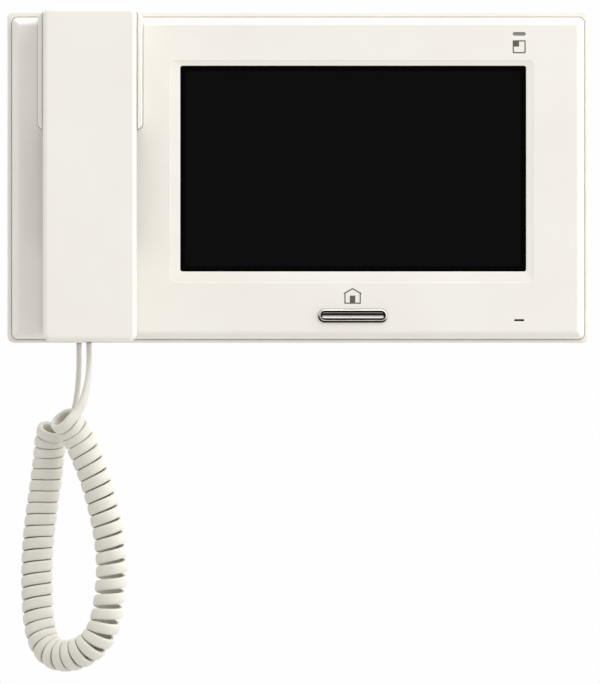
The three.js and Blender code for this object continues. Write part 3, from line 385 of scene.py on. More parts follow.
def black_plastic(name, colour, roughness=0.45):
    surface = Surface(name, colour, roughness)
    grain = surface.noise(0.3, detail=3)
    surface.use_colours(grain, colour, tuple(c * 1.5 for c in colour))
    surface.use_roughness(surface.noise(4, detail=3), roughness - 0.08, roughness + 0.1)
    surface.use("Normal", surface.bump(grain, 0.01, 0.6))
    return surface.material


def chrome():
    """Bright plating with faint wipe marks, with painted shade in its corners and a painted dark reflection
    on its underside and left side.
    """
    surface = Surface("chrome", (0.66, 0.65, 0.62), 0.1, metallic=1)
    wipes = surface.noise(3, detail=4, stretch=(3, 1, 0.4))
    plate = surface.mix(surface.between(wipes, 0, 1), (0.69, 0.68, 0.65), (0.60, 0.59, 0.565))
    # Painted dark reflection: near black where the plating faces down and to the left.
    plate = surface.mix(surface.facing((-0.35, 0, -0.94), 0.08, 0.44), plate, (0.014, 0.013, 0.010))
    # Painted shade: dark in the plating's corners and crevices.
    plate = surface.mix(surface.crevice(0.5, 0.3, 0.9), plate, (0.03, 0.028, 0.022))
    surface.use("Base Color", plate)
    surface.use_roughness(wipes, 0.07, 0.16)
    surface.use("Normal", surface.bump(surface.noise(1.5, detail=2), 0.002, 0.5))
    return surface.material


def zinc_steel():
    """Galvanised sheet: soft spangle, rolling marks and dull patches."""
    surface = Surface("zinc_steel", (0.56, 0.575, 0.585), 0.4, metallic=1)
    cells = surface.add("ShaderNodeTexVoronoi", feature="F1")
    cells.inputs["Scale"].default_value = 1 / (5 * MM)
    surface.link(surface.position, cells.inputs["Vector"])
    spangle = surface.add("ShaderNodeSeparateColor")
    surface.link(cells.outputs["Color"], spangle.inputs[0])
    facets = surface.between(spangle.outputs[0], 0, 1, 0, 1)
    body = surface.mix(facets, (0.50, 0.515, 0.53), (0.62, 0.63, 0.64))
    dull = surface.between(surface.noise(22, detail=4), 0, 0.5, 0.5, 0.8)
    body = surface.mix(dull, body, (0.42, 0.42, 0.41))
    surface.use("Base Color", body)
    surface.use_roughness(surface.noise(6, detail=4), 0.32, 0.5)
    rolling = surface.noise(0.5, detail=2, stretch=(30, 30, 1))
    surface.use("Normal", surface.bump(rolling, 0.006, 0.4))
    return surface.material


def screw_steel():
    surface = Surface("screw_steel", (0.60, 0.60, 0.60), 0.3, metallic=1)
    marks = surface.noise(0.8, detail=3)
    body = surface.mix(surface.between(marks, 0, 1), (0.62, 0.62, 0.62), (0.48, 0.47, 0.45))
    # Painted shade: darker in the cross recess and other crevices.
    surface.use("Base Color", surface.mix(surface.crevice(0.8), body, (0.12, 0.115, 0.11)))
    surface.use_roughness(marks, 0.24, 0.4)
    surface.use("Normal", surface.bump(marks, 0.004, 0.5))
    return surface.material


def circuit_board():
    """Green solder mask over a faint pattern of copper."""
    surface = Surface("circuit_board", (0.012, 0.085, 0.04), 0.35)
    tracks = surface.add("ShaderNodeTexBrick")
    tracks.inputs["Scale"].default_value = 1 / (6 * MM)
    tracks.inputs["Mortar Size"].default_value = 0.09
    turned = surface.add("ShaderNodeMapping")
    turned.inputs["Rotation"].default_value = (math.radians(90), 0, 0)
    surface.link(surface.position, turned.inputs["Vector"])
    surface.link(turned.outputs[0], tracks.inputs["Vector"])
    body = surface.mix(tracks.outputs["Fac"], (0.010, 0.075, 0.034), (0.022, 0.13, 0.06))
    surface.use("Base Color", body)
    surface.use_roughness(surface.noise(3, detail=3), 0.28, 0.45)
    surface.use("Normal", surface.bump(tracks.outputs["Fac"], 0.03, 0.6))
    return surface.material


def clear_plastic():
    """Smoky translucent plastic, for the light pipe and the plugs."""
    surface = Surface("clear_plastic", (0.24, 0.24, 0.235), 0.16)
    haze = surface.noise(1.2, detail=3)
    surface.use_colours(haze, (0.22, 0.22, 0.215), (0.30, 0.30, 0.29))
    surface.use_roughness(haze, 0.12, 0.24)
    return surface.material


def printed_ink():
    """Pad-printed grey ink, thin enough for the plastic's grain to show."""
    surface = Surface("printed_ink", (0.135, 0.13, 0.115), 0.5)
    grain = surface.noise(0.22, detail=3)
    surface.use_colours(grain, (0.075, 0.07, 0.06), (0.12, 0.115, 0.10))
    surface.use_roughness(grain, 0.42, 0.58)
    surface.use("Normal", surface.bump(grain, 0.006, 0.5))
    return surface.material


def speaker_cloth():
    """Black woven cloth behind the speaker slots."""
    surface = Surface("speaker_cloth", (0.012, 0.012, 0.013), 0.85)
    heights = []
    for direction in ("X", "Z"):
        wave = surface.add("ShaderNodeTexWave", bands_direction=direction)
        wave.inputs["Scale"].default_value = 1 / (1.3 * MM)
        surface.link(surface.position, wave.inputs["Vector"])
        heights.append(wave.outputs["Fac"])
    weave = surface.add("ShaderNodeMath", operation="MULTIPLY")
    surface.link(heights[0], weave.inputs[0])
    surface.link(heights[1], weave.inputs[1])
    surface.use("Base Color", surface.mix(weave.outputs[0], (0.006, 0.006, 0.006), (0.03, 0.03, 0.031)))
    surface.use("Normal", surface.bump(weave.outputs[0], 0.08, 0.8))
    return surface.material


def cone_paper():
    surface = Surface("cone_paper", (0.035, 0.032, 0.03), 0.9)
    fibres = surface.noise(0.4, detail=4, stretch=(1, 1, 4))
    surface.use_colours(fibres, (0.028, 0.026, 0.024), (0.05, 0.047, 0.043))
    surface.use("Normal", surface.bump(fibres, 0.03, 0.6))
    return surface.material


# ---------------------------------------------------------------- mesh helpers

def outline(rect, radius, steps=CORNER_STEPS):
    """The points of a rounded rectangle, anticlockwise for a viewer in front."""
    corners = (
        (rect.right - radius, rect.bottom + radius, -90),
        (rect.right - radius, rect.top - radius, 0),
        (rect.left + radius, rect.top - radius, 90),
        (rect.left + radius, rect.bottom + radius, 180),
    )
    points = []
    for x, z, start in corners:
        for step in range(steps + 1):
            angle = math.radians(start + 90 * step / steps)
            points.append((x + radius * math.cos(angle), z + radius * math.sin(angle)))
    return points


def ring(rect, radius, depth, steps=CORNER_STEPS):
    return [(x, -depth, z) for x, z in outline(rect, max(radius, 0.02), steps)]


def circle(x, z, radius, depth, sides=32):
    turn = 2 * math.pi / sides
    return [(x + radius * math.cos(i * turn), -depth, z + radius * math.sin(i * turn)) for i in range(sides)]


def mesh_object(name, bm):
    bmesh.ops.recalc_face_normals(bm, faces=bm.faces)
    mesh = bpy.data.meshes.new(name)
    bm.to_mesh(mesh)
    bm.free()
    made = bpy.data.objects.new(name, mesh)
    bpy.context.scene.collection.objects.link(made)
    return made


def add_rows(bm, rings, closed=False):
    rows = [[bm.verts.new([c * MM for c in point]) for point in points] for points in rings]
    following = rows[1:] + rows[:1] if closed else rows[1:]
    for row, other in zip(rows, following):
        for i in range(len(row)):
            j = (i + 1) % len(row)
            bm.faces.new((row[i], row[j], other[j], other[i]))
    return rows


def solid(name, shells):
    """Closed bodies, each given as rings of points with a cap at both ends, as one object."""
    bm = bmesh.new()
    for rings in shells:
        rows = add_rows(bm, rings)
        bm.faces.new(rows[0])
        bm.faces.new(rows[-1])
    return mesh_object(name, bm)


def frame_solid(name, rings):
    """A closed body with a hole through it: its last ring joins its first."""
    bm = bmesh.new()
    add_rows(bm, rings, closed=True)
    return mesh_object(name, bm)


def combine(target, shells, operation="DIFFERENCE"):
    """Cuts closed bodies out of an object, or joins them to it."""
    tool = solid("tool", shells)
    change = target.modifiers.new("combine", "BOOLEAN")
    change.operation = operation
    change.object = tool
    change.solver = "EXACT"
    change.use_self = True
    graph = bpy.context.evaluated_depsgraph_get()
    result = bpy.data.meshes.new_from_object(target.evaluated_get(graph))
    target.modifiers.clear()
    old, tool_mesh = target.data, tool.data
    target.data = result
    bpy.data.objects.remove(tool)
    bpy.data.meshes.remove(tool_mesh)
    bpy.data.meshes.remove(old)
    return target


def smooth(piece, angle=SMOOTH_ANGLE):
    """Smooth shading that keeps flat faces flat and leaves edges over the angle sharp."""
    piece.data.shade_smooth()
    piece.data.set_sharp_from_angle(angle=angle)
    weighted = piece.modifiers.new("weighted_normals", "WEIGHTED_NORMAL")
    weighted.keep_sharp = True
    return piece


def finish_piece(piece, material, body, *nodes):
    """Gives a piece its material, its body, and the CAD nodes that it stands for."""
    piece.data.materials.clear()
    piece.data.materials.append(material)
    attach(piece, body)
    if nodes:
        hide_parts(*nodes)
    return piece


def round_edge(radius, steps=LIP_STEPS):
    """Steps of a quarter round: how far in from the side, and how far down from the face."""
    made = []
    for step in range(steps + 1):
        angle = math.pi / 2 * step / steps
        made.append((radius * (1 - math.sin(angle)), radius * (1 - math.cos(angle))))
    return made


def lipped_cutter(rect, radius, face, far, lip, steps=CORNER_STEPS):
    """A cutter that leaves a rounded lip where it enters the face, and goes on to a far depth."""
    out = 1 if face > far else -1
    rings = [ring(grow(rect, lip + 0.5), radius + lip + 0.5, face + out * 0.6, steps)]
    rings.append(ring(grow(rect, lip + 0.06), radius + lip + 0.06, face + out * 0.03, steps))
    for grown, down in round_edge(lip)[1:]:
        rings.append(ring(grow(rect, grown), radius + grown, face - out * down, steps))
    rings.append(ring(rect, radius, far, steps))
    return rings


def round_cutter(x, z, radius, face, far, lip, sides=32):
    out = 1 if face > far else -1
    rings = [circle(x, z, radius + lip + 0.5, face + out * 0.6, sides)]
    rings.append(circle(x, z, radius + lip + 0.06, face + out * 0.03, sides))
    for grown, down in round_edge(lip)[1:]:
        rings.append(circle(x, z, radius + grown, face - out * down, sides))
    rings.append(circle(x, z, radius, far, sides))
    return rings


def plain_cutter(rect, back, front, radius=0.05, steps=1):
    return [ring(rect, radius, back, steps), ring(rect, radius, front, steps)]


def soft_block(rect, back, front, radius, edge, back_edge=None, steps=CORNER_STEPS):
    """Rings of a block with rounded corners and rounded front and back edges."""
    rings = []
    for inset, down in round_edge(back_edge or edge):
        rings.append(ring(grow(rect, -inset), radius - inset, back + down, steps))
    for inset, down in reversed(round_edge(edge)):
        rings.append(ring(grow(rect, -inset), radius - inset, front - down, steps))
    return rings


def pill_block(x, z, width, height, back, front, edge):
    return soft_block(rect_around(x, z, width, height), back, front, height / 2 - 0.01, edge)


# ---------------------------------------------------------------- the cord

BASE_LEAD_ROUTE = [
    (-0.0981, -0.0092, -0.0739), (-0.0981, -0.0092, -0.0800), (-0.0982, -0.0092, -0.0870),
    (-0.0988, -0.0090, -0.0950), (-0.0999, -0.0085, -0.1020), (-0.1013, -0.0078, -0.1066),
    (-0.1032, -0.0072, -0.1104),
]
COIL_ROUTE = [
    (-0.1094, -0.0162, -0.1125), (-0.1106, -0.0136, -0.1162), (-0.1112, -0.0119, -0.1208),
    (-0.1117, -0.0109, -0.1262), (-0.1125, -0.0104, -0.1330), (-0.1138, -0.0102, -0.1420),
    (-0.1153, -0.0104, -0.1530), (-0.1164, -0.0108, -0.1640), (-0.1169, -0.0113, -0.1760),
    (-0.1168, -0.0119, -0.1860), (-0.1164, -0.0126, -0.1945), (-0.1155, -0.0135, -0.2016),
    (-0.1138, -0.0150, -0.2076), (-0.1110, -0.0172, -0.2118), (-0.1070, -0.0200, -0.2140),
    (-0.1020, -0.0230, -0.2140), (-0.0970, -0.0256, -0.2125), (-0.0922, -0.0274, -0.2093),
    (-0.0886, -0.0283, -0.2048), (-0.0863, -0.0286, -0.1992), (-0.0848, -0.0287, -0.1924),
    (-0.0838, -0.0288, -0.1844), (-0.0832, -0.0290, -0.1740), (-0.0842, -0.0294, -0.1620),
    (-0.0865, -0.0298, -0.1495), (-0.0900, -0.0302, -0.1368), (-0.0940, -0.0307, -0.1258),
    (-0.0982, -0.0316, -0.1166), (-0.1014, -0.0334, -0.1114), (-0.1048, -0.0364, -0.1076),
]
HANDSET_LEAD_ROUTE = [
    (-0.0934, -0.0380, -0.0739), (-0.0933, -0.0381, -0.0790), (-0.0933, -0.0384, -0.0845),
    (-0.0938, -0.0389, -0.0905), (-0.0949, -0.0394, -0.0963), (-0.0961, -0.0398, -0.1005),
    (-0.0977, -0.0401, -0.1036),
]
CORD_WIDTH = 4.95
CORD_THICKNESS = 2.4
SECTION_POINTS = 20
COIL_MEAN_RADIUS = 5.95
BASE_LEAD_TURNS_EARLY = 8
RINGS_PER_TURN = 28
# The pitch of the turns along the coil's axis, from its top at the left to its top at the right.
PITCH_AT = (0, 0.16, 0.26, 0.36, 0.42, 0.47, 0.52, 0.56, 0.60, 0.65, 0.70, 0.76, 0.85, 1)
PITCHES = (5.15, 5.20, 5.40, 5.45, 4.80, 4.45, 4.70, 5.60, 6.70, 6.90, 6.20, 5.70, 5.50, 5.40)


def unit(v):
    return v / np.maximum(np.linalg.norm(v, axis=-1, keepdims=True), 1e-12)


def through(points, per=24):
    """A smooth line through points given in metres, as an array in millimetres."""
    p = np.array(points) / MM
    p = np.vstack([2 * p[0] - p[1], p, 2 * p[-1] - p[-2]])
    t = np.linspace(0, 1, per, endpoint=False)[:, None]
    made = []
    for a, b, c, d in zip(p, p[1:], p[2:], p[3:]):
        square, cube = 2 * a - 5 * b + 4 * c - d, 3 * b - a - 3 * c + d
        made.append(0.5 * (2 * b + (c - a) * t + square * t ** 2 + cube * t ** 3))
    return np.vstack(made + [p[-2]])


def lengths(line):
    return np.concatenate([[0], np.cumsum(np.linalg.norm(np.diff(line, axis=0), axis=1))])


def respaced(line, count):
    along = lengths(line)
    at = np.linspace(0, along[-1], count)
    return np.stack([np.interp(at, along, line[:, k]) for k in range(3)], axis=1)


def relaxed(line, rounds):
    line = line.copy()
    for _ in range(rounds):
        line[1:-1] = 0.25 * line[:-2] + 0.5 * line[1:-1] + 0.25 * line[2:]
    return line


def carried_frames(line):
    """A tangent and two cross directions at each point, turned as little as possible along the line."""
    tangents = unit(np.gradient(line, axis=0))
    normals = np.zeros_like(line)
    normals[0] = unit(np.cross(tangents[0], (0, 1, 0)))
    for i in range(1, len(line)):
        normals[i] = unit(normals[i - 1] - tangents[i] * (normals[i - 1] @ tangents[i]))
    return tangents, normals, np.cross(tangents, normals)


def coil_line():
    """The strand's centre through the coil, the coil's axis at each point, and the room beside each turn."""
    axis = respaced(relaxed(respaced(through(COIL_ROUTE), 1201), 200), 1201)
    tangents, normals, binormals = carried_frames(axis)
    along = lengths(axis)
    curvature = np.gradient(tangents, axis=0) * (len(axis) - 1) / along[-1]
    pitch = np.interp(along / along[-1], PITCH_AT, PITCHES)

    def angle_of(direction, i):
        return math.atan2(np.dot(direction, binormals[i]), np.dot(direction, normals[i]))

    # The strand comes in at the back right of the left ring, and leaves at the front right of the right one.
    start = angle_of((0.90, -0.25, -0.40), 0)
    end = angle_of((0.454, -0.855, -0.251), -1)
    turned = start + lengths_of_turns(pitch, along)
    wanted = end + 2 * math.pi * round((turned[-1] - end) / (2 * math.pi))
    turned = start + (turned - start) * (wanted - start) / (turned[-1] - start)
    pitch = pitch * (turned[-1] - start) / (wanted - start)

    count = int((wanted - start) / (2 * math.pi) * RINGS_PER_TURN)
    angles = np.linspace(start, wanted, count)
    where = np.interp(angles, turned, np.arange(len(axis)))

    def at(values):
        return np.stack([np.interp(where, np.arange(len(axis)), values[:, k]) for k in range(3)], axis=1)

    radial = np.cos(angles)[:, None] * unit(at(normals)) + np.sin(angles)[:, None] * unit(at(binormals))
    room = np.interp(where, np.arange(len(axis)), pitch)
    room = room * (1 - COIL_MEAN_RADIUS * (at(curvature) * radial).sum(1))
    return at(axis) + COIL_MEAN_RADIUS * radial, unit(at(tangents)), room


def lengths_of_turns(pitch, along):
    steps = 2 * math.pi * np.diff(along) / ((pitch[1:] + pitch[:-1]) / 2)
    return np.concatenate([[0], np.cumsum(steps)])


def bridge(start, start_way, end, end_way, leaving, arriving, count=14):
    """Points between two ends of the strand, leaving and arriving along their own directions."""
    t = np.linspace(0, 1, count + 2)[1:-1, None]
    return (
        (2 * t ** 3 - 3 * t ** 2 + 1) * start + (t ** 3 - 2 * t ** 2 + t) * leaving * unit(start_way)
        + (3 * t ** 2 - 2 * t ** 3) * end + (t ** 3 - t ** 2) * arriving * unit(end_way)
    )


def eased(count):
    t = np.linspace(0, 1, count)[:, None]
    return t * t * (3 - 2 * t)


def whole_strand():
    """Centre points, wide directions and widths of the whole cord, from the base's plug to the handset's."""
    coil, coil_axis, room = coil_line()
    # The base lead leaves its route a little early, so that it turns gently into the coil.
    base = respaced(through(BASE_LEAD_ROUTE), 36)[:-BASE_LEAD_TURNS_EARLY]
    hand = respaced(through(HANDSET_LEAD_ROUTE), 30)[::-1]
    into = bridge(base[-1], base[-1] - base[-2], coil[0], coil[1] - coil[0], 24, 10, 18)
    out = bridge(coil[-1], coil[-1] - coil[-2], hand[0], hand[1] - hand[0], 9, 9)
    line = np.vstack([base, into, coil, out, hand])
    lead_in, lead_out = len(base) + len(into), len(out) + len(hand)
    across = np.array([0.0, 1.0, 0.0])
    first = across + eased(lead_in) * (coil_axis[0] - across)
    last = -coil_axis[-1] + eased(lead_out) * (across + coil_axis[-1])
    last[:] = -last
    wide = np.vstack([first, coil_axis, last])
    snug = np.minimum(CORD_WIDTH, 0.965 * room)
    width = np.concatenate([np.full(lead_in, CORD_WIDTH), snug, np.full(lead_out, CORD_WIDTH)])
    width = np.minimum(CORD_WIDTH, np.convolve(np.pad(width, 3, mode="edge"), np.ones(7) / 7, mode="valid"))
    return line, wide, width


def strand_section(width):
    """Points round a flat strand's section, as (across, outward): a well rounded, crowned rectangle."""
    points = []
    for step in range(SECTION_POINTS):
        angle = 2 * math.pi * step / SECTION_POINTS
        c, s = math.cos(angle), math.sin(angle)
        x = width / 2 * math.copysign(abs(c) ** 0.62, c)
        y = CORD_THICKNESS / 2 * math.copysign(abs(s) ** 0.72, s)
        points.append((x, y))
    return points


def make_strand(name, line, wide, width, materials):
    tangents = unit(np.gradient(line, axis=0))
    wide = unit(wide - tangents * (wide * tangents).sum(1)[:, None])
    outward = np.cross(wide, tangents)
    bm = bmesh.new()
    along = lengths(line)
    rings = []
    for i in range(len(line)):
        section = strand_section(width[i])
        rings.append([line[i] + x * wide[i] + y * outward[i] for x, y in section])
    rows = add_rows(bm, rings)
    bm.faces.new(rows[0])
    bm.faces.new(rows[-1])
    place = {vert: (along[i], j / len(row)) for i, row in enumerate(rows) for j, vert in enumerate(row)}
    strand = bm.loops.layers.uv.new("strand")
    for face in bm.faces:
        for loop in face.loops:
            loop[strand].uv = [c * MM for c in place[loop.vert]]
    cord = mesh_object(name, bm)
    cord.data.shade_smooth()
    cord.data.materials.append(materials["cord"])
    return cord


PLUG_X = {"base_plug": -98.1, "handset_plug": -93.4}
PLUG_DEPTH = {"base_plug": 9.2, "handset_plug": HANDSET_PLUG_DEPTH}


def make_plug(name, node, body, materials):
    """A clear modular plug: a body, a sprung latch leaning out on its left, and four contact slots."""
    x, depth = PLUG_X[node], PLUG_DEPTH[node]
    bottom, top = rect_of(node).bottom, rect_of(node).top
    middle = Rect(x - 2.8, x + 2.8, bottom, top)
    plug = solid(name, [soft_block(middle, depth - 3.8, depth + 3.8, 0.25, 0.25, 0.25)])
    latch = []
    nose = ((top - 0.6, 2.5, 2.95), (top - 3.0, 2.5, 3.2))
    spring = ((top - 3.6, 2.95, 3.3), (bottom + 1.2, 3.1, 3.6))
    for z, near, far in nose + spring:
        latch.append([(x - far, -(depth - 1.6), z), (x - near, -(depth - 1.6), z),
                      (x - near, -(depth + 1.6), z), (x - far, -(depth + 1.6), z)])
    combine(plug, [latch], "UNION")
    contacts = []
    for i in range(4):
        across = depth - 1.53 + 1.02 * i
        slot = Rect(x + 1.6, x + 3.2, top - 3.6, top + 0.4)
        contacts.append(plain_cutter(slot, across - 0.21, across + 0.21))
    combine(plug, contacts)
    smooth(plug)
    finish_piece(plug, materials["clear"], body, node)
    return plug


def make_cord(materials):
    base_plug = make_plug("wall_side_plug", "base_plug", "root", materials)
    handset_plug = make_plug("handset_side_plug", "handset_plug", "handset", materials)
    line, wide, width = whole_strand()
    depth_of_loop = line[:, 2].argmin()
    parts = {"loop": slice(0, depth_of_loop + 1), "front": slice(depth_of_loop, None)}
    cords = {}
    for part, span in parts.items():
        cords[part] = make_strand(f"cord_{part}", line[span], wide[span], width[span], materials)
    loop, front = cords["loop"], cords["front"]
    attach(loop, "root")
    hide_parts("cord_base_lead", "cord_coil")
    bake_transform(front)
    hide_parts("cord_handset_lead", "cord_coil")


# ---------------------------------------------------------------- rear housing and wall bracket

BRACKET = Rect(-75, 75, -50, 50)
HOOKS = ((-60, 28), (60, 28), (-60, -36), (60, -36))
HOOK_WIDTH = 12
HOOK_LIP = 4.4
TONGUE_HALF_WIDTH = 9
TONGUE_BOTTOM = -70.2
CABLE_WINDOW = Rect(-28, 28, -31, -9)
BRACKET_WINDOW = Rect(-30, 30, -32, -8)
CORNER_SCREWS = ((-121, 62), (121, 62), (-121, -62), (121, -62))


def make_rear_housing(materials):
    cavity = grow(COVER, GROOVE)
    rings = []
    for inset, down in round_edge(1.1):
        rings.append(ring(grow(BODY, -inset), 3 - inset, BODY_BACK + down))
    for inset, down in reversed(round_edge(0.9)):
        rings.append(ring(grow(BODY, -inset), 3 - inset, RIM_FRONT - down))
    for grown, down in round_edge(0.3):
        rings.append(ring(grow(cavity, grown), 2.8 + grown, RIM_FRONT - down))
    rings.append(ring(cavity, 2.8, HOUSING_FLOOR + 1))
    rings.append(ring(grow(cavity, -1), 1.8, HOUSING_FLOOR))
    housing = solid("housing", [rings])
    boss = [ring(rect_around(0, -72.3, 9, 3), 0.5, 3), ring(rect_around(0, -72.3, 9, 3), 0.5, 11.4)]
    combine(housing, [boss], "UNION")

    inner = HOUSING_FLOOR + 0.6
    recess = BRACKET_THICKNESS + 0.4
    tongue = Rect(-TONGUE_HALF_WIDTH - 0.4, TONGUE_HALF_WIDTH + 0.4, TONGUE_BOTTOM - 0.4, BRACKET.bottom)
    combine(housing, [
        lipped_cutter(grow(BRACKET, 0.4), 4.4, BODY_BACK, recess, 0.3),
    ])
    combine(housing, [plain_cutter(tongue, -1, recess, 0.5, 3)])
    slots = [lipped_cutter(CABLE_WINDOW, 2, recess, inner, 0.35)]
    for x, z in HOOKS:
        slot = Rect(x - HOOK_WIDTH / 2 - 0.4, x + HOOK_WIDTH / 2 + 0.4, z - HOOK_LIP - 1.9, z + 0.9)
        slots.append(lipped_cutter(slot, 0.8, recess, inner, 0.25, 3))
    slots.append(plain_cutter(tongue._replace(top=TONGUE_BOTTOM + BRACKET_THICKNESS + 0.4), -1, inner))
    for side in (-1, 1):
        for row in range(6):
            vent = rect_around(side * 99, -18 + 7.2 * row, 30, 2.4)
            slots.append(lipped_cutter(vent, 1.15, BODY_BACK, inner, 0.3, 4))
    for x, z in CORNER_SCREWS:
        slots.append(round_cutter(x, z, 3.1, BODY_BACK, 2.6, 0.4))
        slots.append([circle(x, z, 1.7, 2, 20), circle(x, z, 1.7, inner, 20)])
    combine(housing, slots)
    combine(housing, top_vents() + bottom_openings())
    smooth(housing)
    finish_piece(housing, materials["white"], "root", "rear_housing")


def edge_slot(place, face, far, lip, radius, steps=4):
    """A cutter into the top or bottom face, over a rectangle in X and depth. face and far are heights."""
    out = 1 if face > far else -1
    rings = []
    for grown, height in [(lip + 0.5, face + out * 0.6), (lip + 0.06, face + out * 0.03)] + [
        (grown, face - out * down) for grown, down in round_edge(lip)[1:]
    ] + [(0, far)]:
        points = outline(grow(place, grown), radius + grown, steps)
        rings.append([(x, -depth, height) for x, depth in points])
    return rings


def top_vents():
    """Nine slots through the top wall."""
    return [edge_slot(Rect(-18 + 9 * i, -12 + 9 * i, 8, 10.2), BODY.top, 70.8, 0.25, 1.05) for i in range(9)]


def bottom_openings():
    depth = 9.2
    jack = Rect(PLUG_X["base_plug"] - 3.8, PLUG_X["base_plug"] + 3.8, depth - 4.6, depth + 4.6)
    lock_head = Rect(-3.1, 3.1, 7 - 3.1, 7 + 3.1)
    lock_hole = Rect(-1.7, 1.7, 7 - 1.7, 7 + 1.7)
    return [
        edge_slot(jack, BODY.bottom, -71.5, 0.3, 0.6),
        edge_slot(lock_head, BODY.bottom, -72.2, 0.3, 3.05, 8),
        edge_slot(lock_hole, -72.6, -70.4, 0.02, 1.65, 6),
    ]


def make_wall_bracket(materials):
    rings = soft_block(BRACKET, 0, BRACKET_THICKNESS, 4, 0.18)
    bracket = solid("mounting_plate", [rings])
    tongue = Rect(-TONGUE_HALF_WIDTH, TONGUE_HALF_WIDTH, TONGUE_BOTTOM, BRACKET.bottom + 1)
    tab = tongue._replace(top=TONGUE_BOTTOM + BRACKET_THICKNESS)
    additions = [
        soft_block(tongue, 0, BRACKET_THICKNESS, 0.6, 0.15),
        soft_block(tab, 0.02, 11.6, 0.55, 0.15),
    ]
    for x, z in HOOKS:
        stem = rect_around(x, z, HOOK_WIDTH, 1.2)
        additions.append(soft_block(stem, 0.5, 5.4, 0.5, 0.35))
        additions.append(soft_block(stem._replace(top=z + HOOK_LIP), 4.2, 5.4, 0.5, 0.35))
    combine(bracket, additions, "UNION")
    cuts = [lipped_cutter(BRACKET_WINDOW, 3, 0, BRACKET_THICKNESS + 1, 0.15)]
    for side in (-1, 1):
        slot = rect_around(0, side * WALL_SCREW_SPACING / 2, 10, 4.6)
        cuts.append(lipped_cutter(slot, 2.25, 0, BRACKET_THICKNESS + 1, 0.15))
        for corner in (-1, 1):
            cuts.append(round_cutter(corner * 67, side * 42, 2.3, 0, BRACKET_THICKNESS + 1, 0.15))
    combine(bracket, cuts)
    hole = Rect(-1.5, 1.5, 5.5, 8.5)
    combine(bracket, [edge_slot(hole, TONGUE_BOTTOM, TONGUE_BOTTOM + 2.5, 0.1, 1.45, 6)])
    smooth(bracket)
    finish_piece(bracket, materials["zinc"], "root", "wall_bracket")


# ---------------------------------------------------------------- front cover

EDGE_WIDTH = 3.7
EDGE_DROP = 5.2


def make_front_cover(materials):
    radius, skirt = 2.4, 1.6
    inside = grow(COVER, -skirt)
    step = RIM_FRONT - 0.12
    wide = GROOVE - 0.08
    rings = [ring(grow(COVER, wide), radius + wide, depth) for depth in (COVER_BACK, step - 0.2)]
    rings += [ring(grow(COVER, GROOVE - 0.2), radius + GROOVE - 0.2, step), ring(COVER, radius, step)]
    for inset, down in reversed(round_edge(1, 10)):
        inset, down = inset * EDGE_WIDTH, down * EDGE_DROP
        rings.append(ring(grow(COVER, -inset), max(radius - inset, 0.4), COVER_FRONT - down))
    for grown, down in round_edge(0.35):
        rings.append(ring(grow(SURROUND, grown), 2.4 + grown, COVER_FRONT - down * 0.45))
    ledge = grow(WINDOW, 0.55)
    rings.append(ring(grow(ledge, 0.25), 1.5, SURROUND_FLOOR + 0.1))
    rings.append(ring(ledge, 1.35, SURROUND_FLOOR))
    for grown, down in round_edge(0.3):
        rings.append(ring(grow(WINDOW, grown), 1 + grown, SURROUND_FLOOR - down))
    rings.append(ring(WINDOW, 1, COVER_INSIDE))
    rings.append(ring(inside, 0.6, COVER_INSIDE))
    rings.append(ring(inside, 0.6, COVER_BACK))
    cover = frame_solid("cover", rings)

    far = COVER_INSIDE - 0.6
    openings = [
        plain_cutter(rect_around(BUTTON_X, BUTTON_Z, 29.9, 5.7), far, COVER_FRONT + 1, 2.8, 8),
        lipped_cutter(rect_around(LIGHT_X, LIGHT_Z, 5.8, 1.5), 0.74, COVER_FRONT, far, 0.12, 5),
        lipped_cutter(rect_around(MIC_X, MIC_Z, 4.5, 0.9), 0.44, COVER_FRONT, far, 0.12, 4),
        lipped_cutter(rect_around(PLUNGER_X, PLUNGER_Z, 7.8, 5.8), 1, COVER_FRONT, far, 0.25, 4),
    ]
    for i in range(-3, 4):
        length = 2 * math.sqrt(16 ** 2 - (3.8 * i) ** 2)
        slot = rect_around(SPEAKER_X, SPEAKER_Z + 3.8 * i, length, 1.7)
        openings.append(lipped_cutter(slot, 0.84, COVER_FRONT, far, 0.25, 5))
    combine(cover, openings)
    bed = [lipped_cutter(grow(CRADLE, 0.3), 2.9, COVER_FRONT, COVER_FRONT - 0.6, 0.12)]
    combine(cover, bed)
    smooth(cover)
    finish_piece(cover, materials["white"], "root", "front_cover")


def make_screen(materials):
    rect = rect_of("display_glass")
    back, front = depths_of("display_glass")
    glass = solid("screen", [soft_block(rect, back, front, 1.5, 0.15)])
    smooth(glass)
    finish_piece(glass, materials["glass"], "root", "display_glass")


def flat_mark(name, outer, inner=None):
    """A printed mark: a thin flat shape on the cover, with a hole if an inner outline is given."""
    low, high = COVER_FRONT - 0.02, COVER_FRONT + 0.03
    if inner is None:
        return solid(name, [[[(x, -low, z) for x, z in outer], [(x, -high, z) for x, z in outer]]])
    order = ((outer, low), (outer, high), (inner, high), (inner, low))
    return frame_solid(name, [[(x, -depth, z) for x, z in points] for points, depth in order])


HOUSE_OUTLINE = (
    (-3.68, -3.5), (3.68, -3.5), (3.68, 0.95), (3.98, 0.80), (3.98, 1.25),
    (0, 3.55), (-3.98, 1.25), (-3.98, 0.80), (-3.68, 0.95),
)
HOUSE_INSIDE = (
    (-3.16, -2.98), (3.16, -2.98), (3.16, 1.05), (3.14, 1.08), (3.12, 1.12),
    (0, 2.92), (-3.12, 1.12), (-3.14, 1.08), (-3.16, 1.05),
)
HOUSE_DOOR = Rect(-1.25, 1.2, -3.0, 0.15)
HOUSE_ABOVE_BUTTON = 8.8
SQUARE_BELOW_LIGHT = 5.75
SQUARE_SIDE = 5.8
HOUSE_X = BUTTON_X - 0.15
MARK_LINE = 0.54


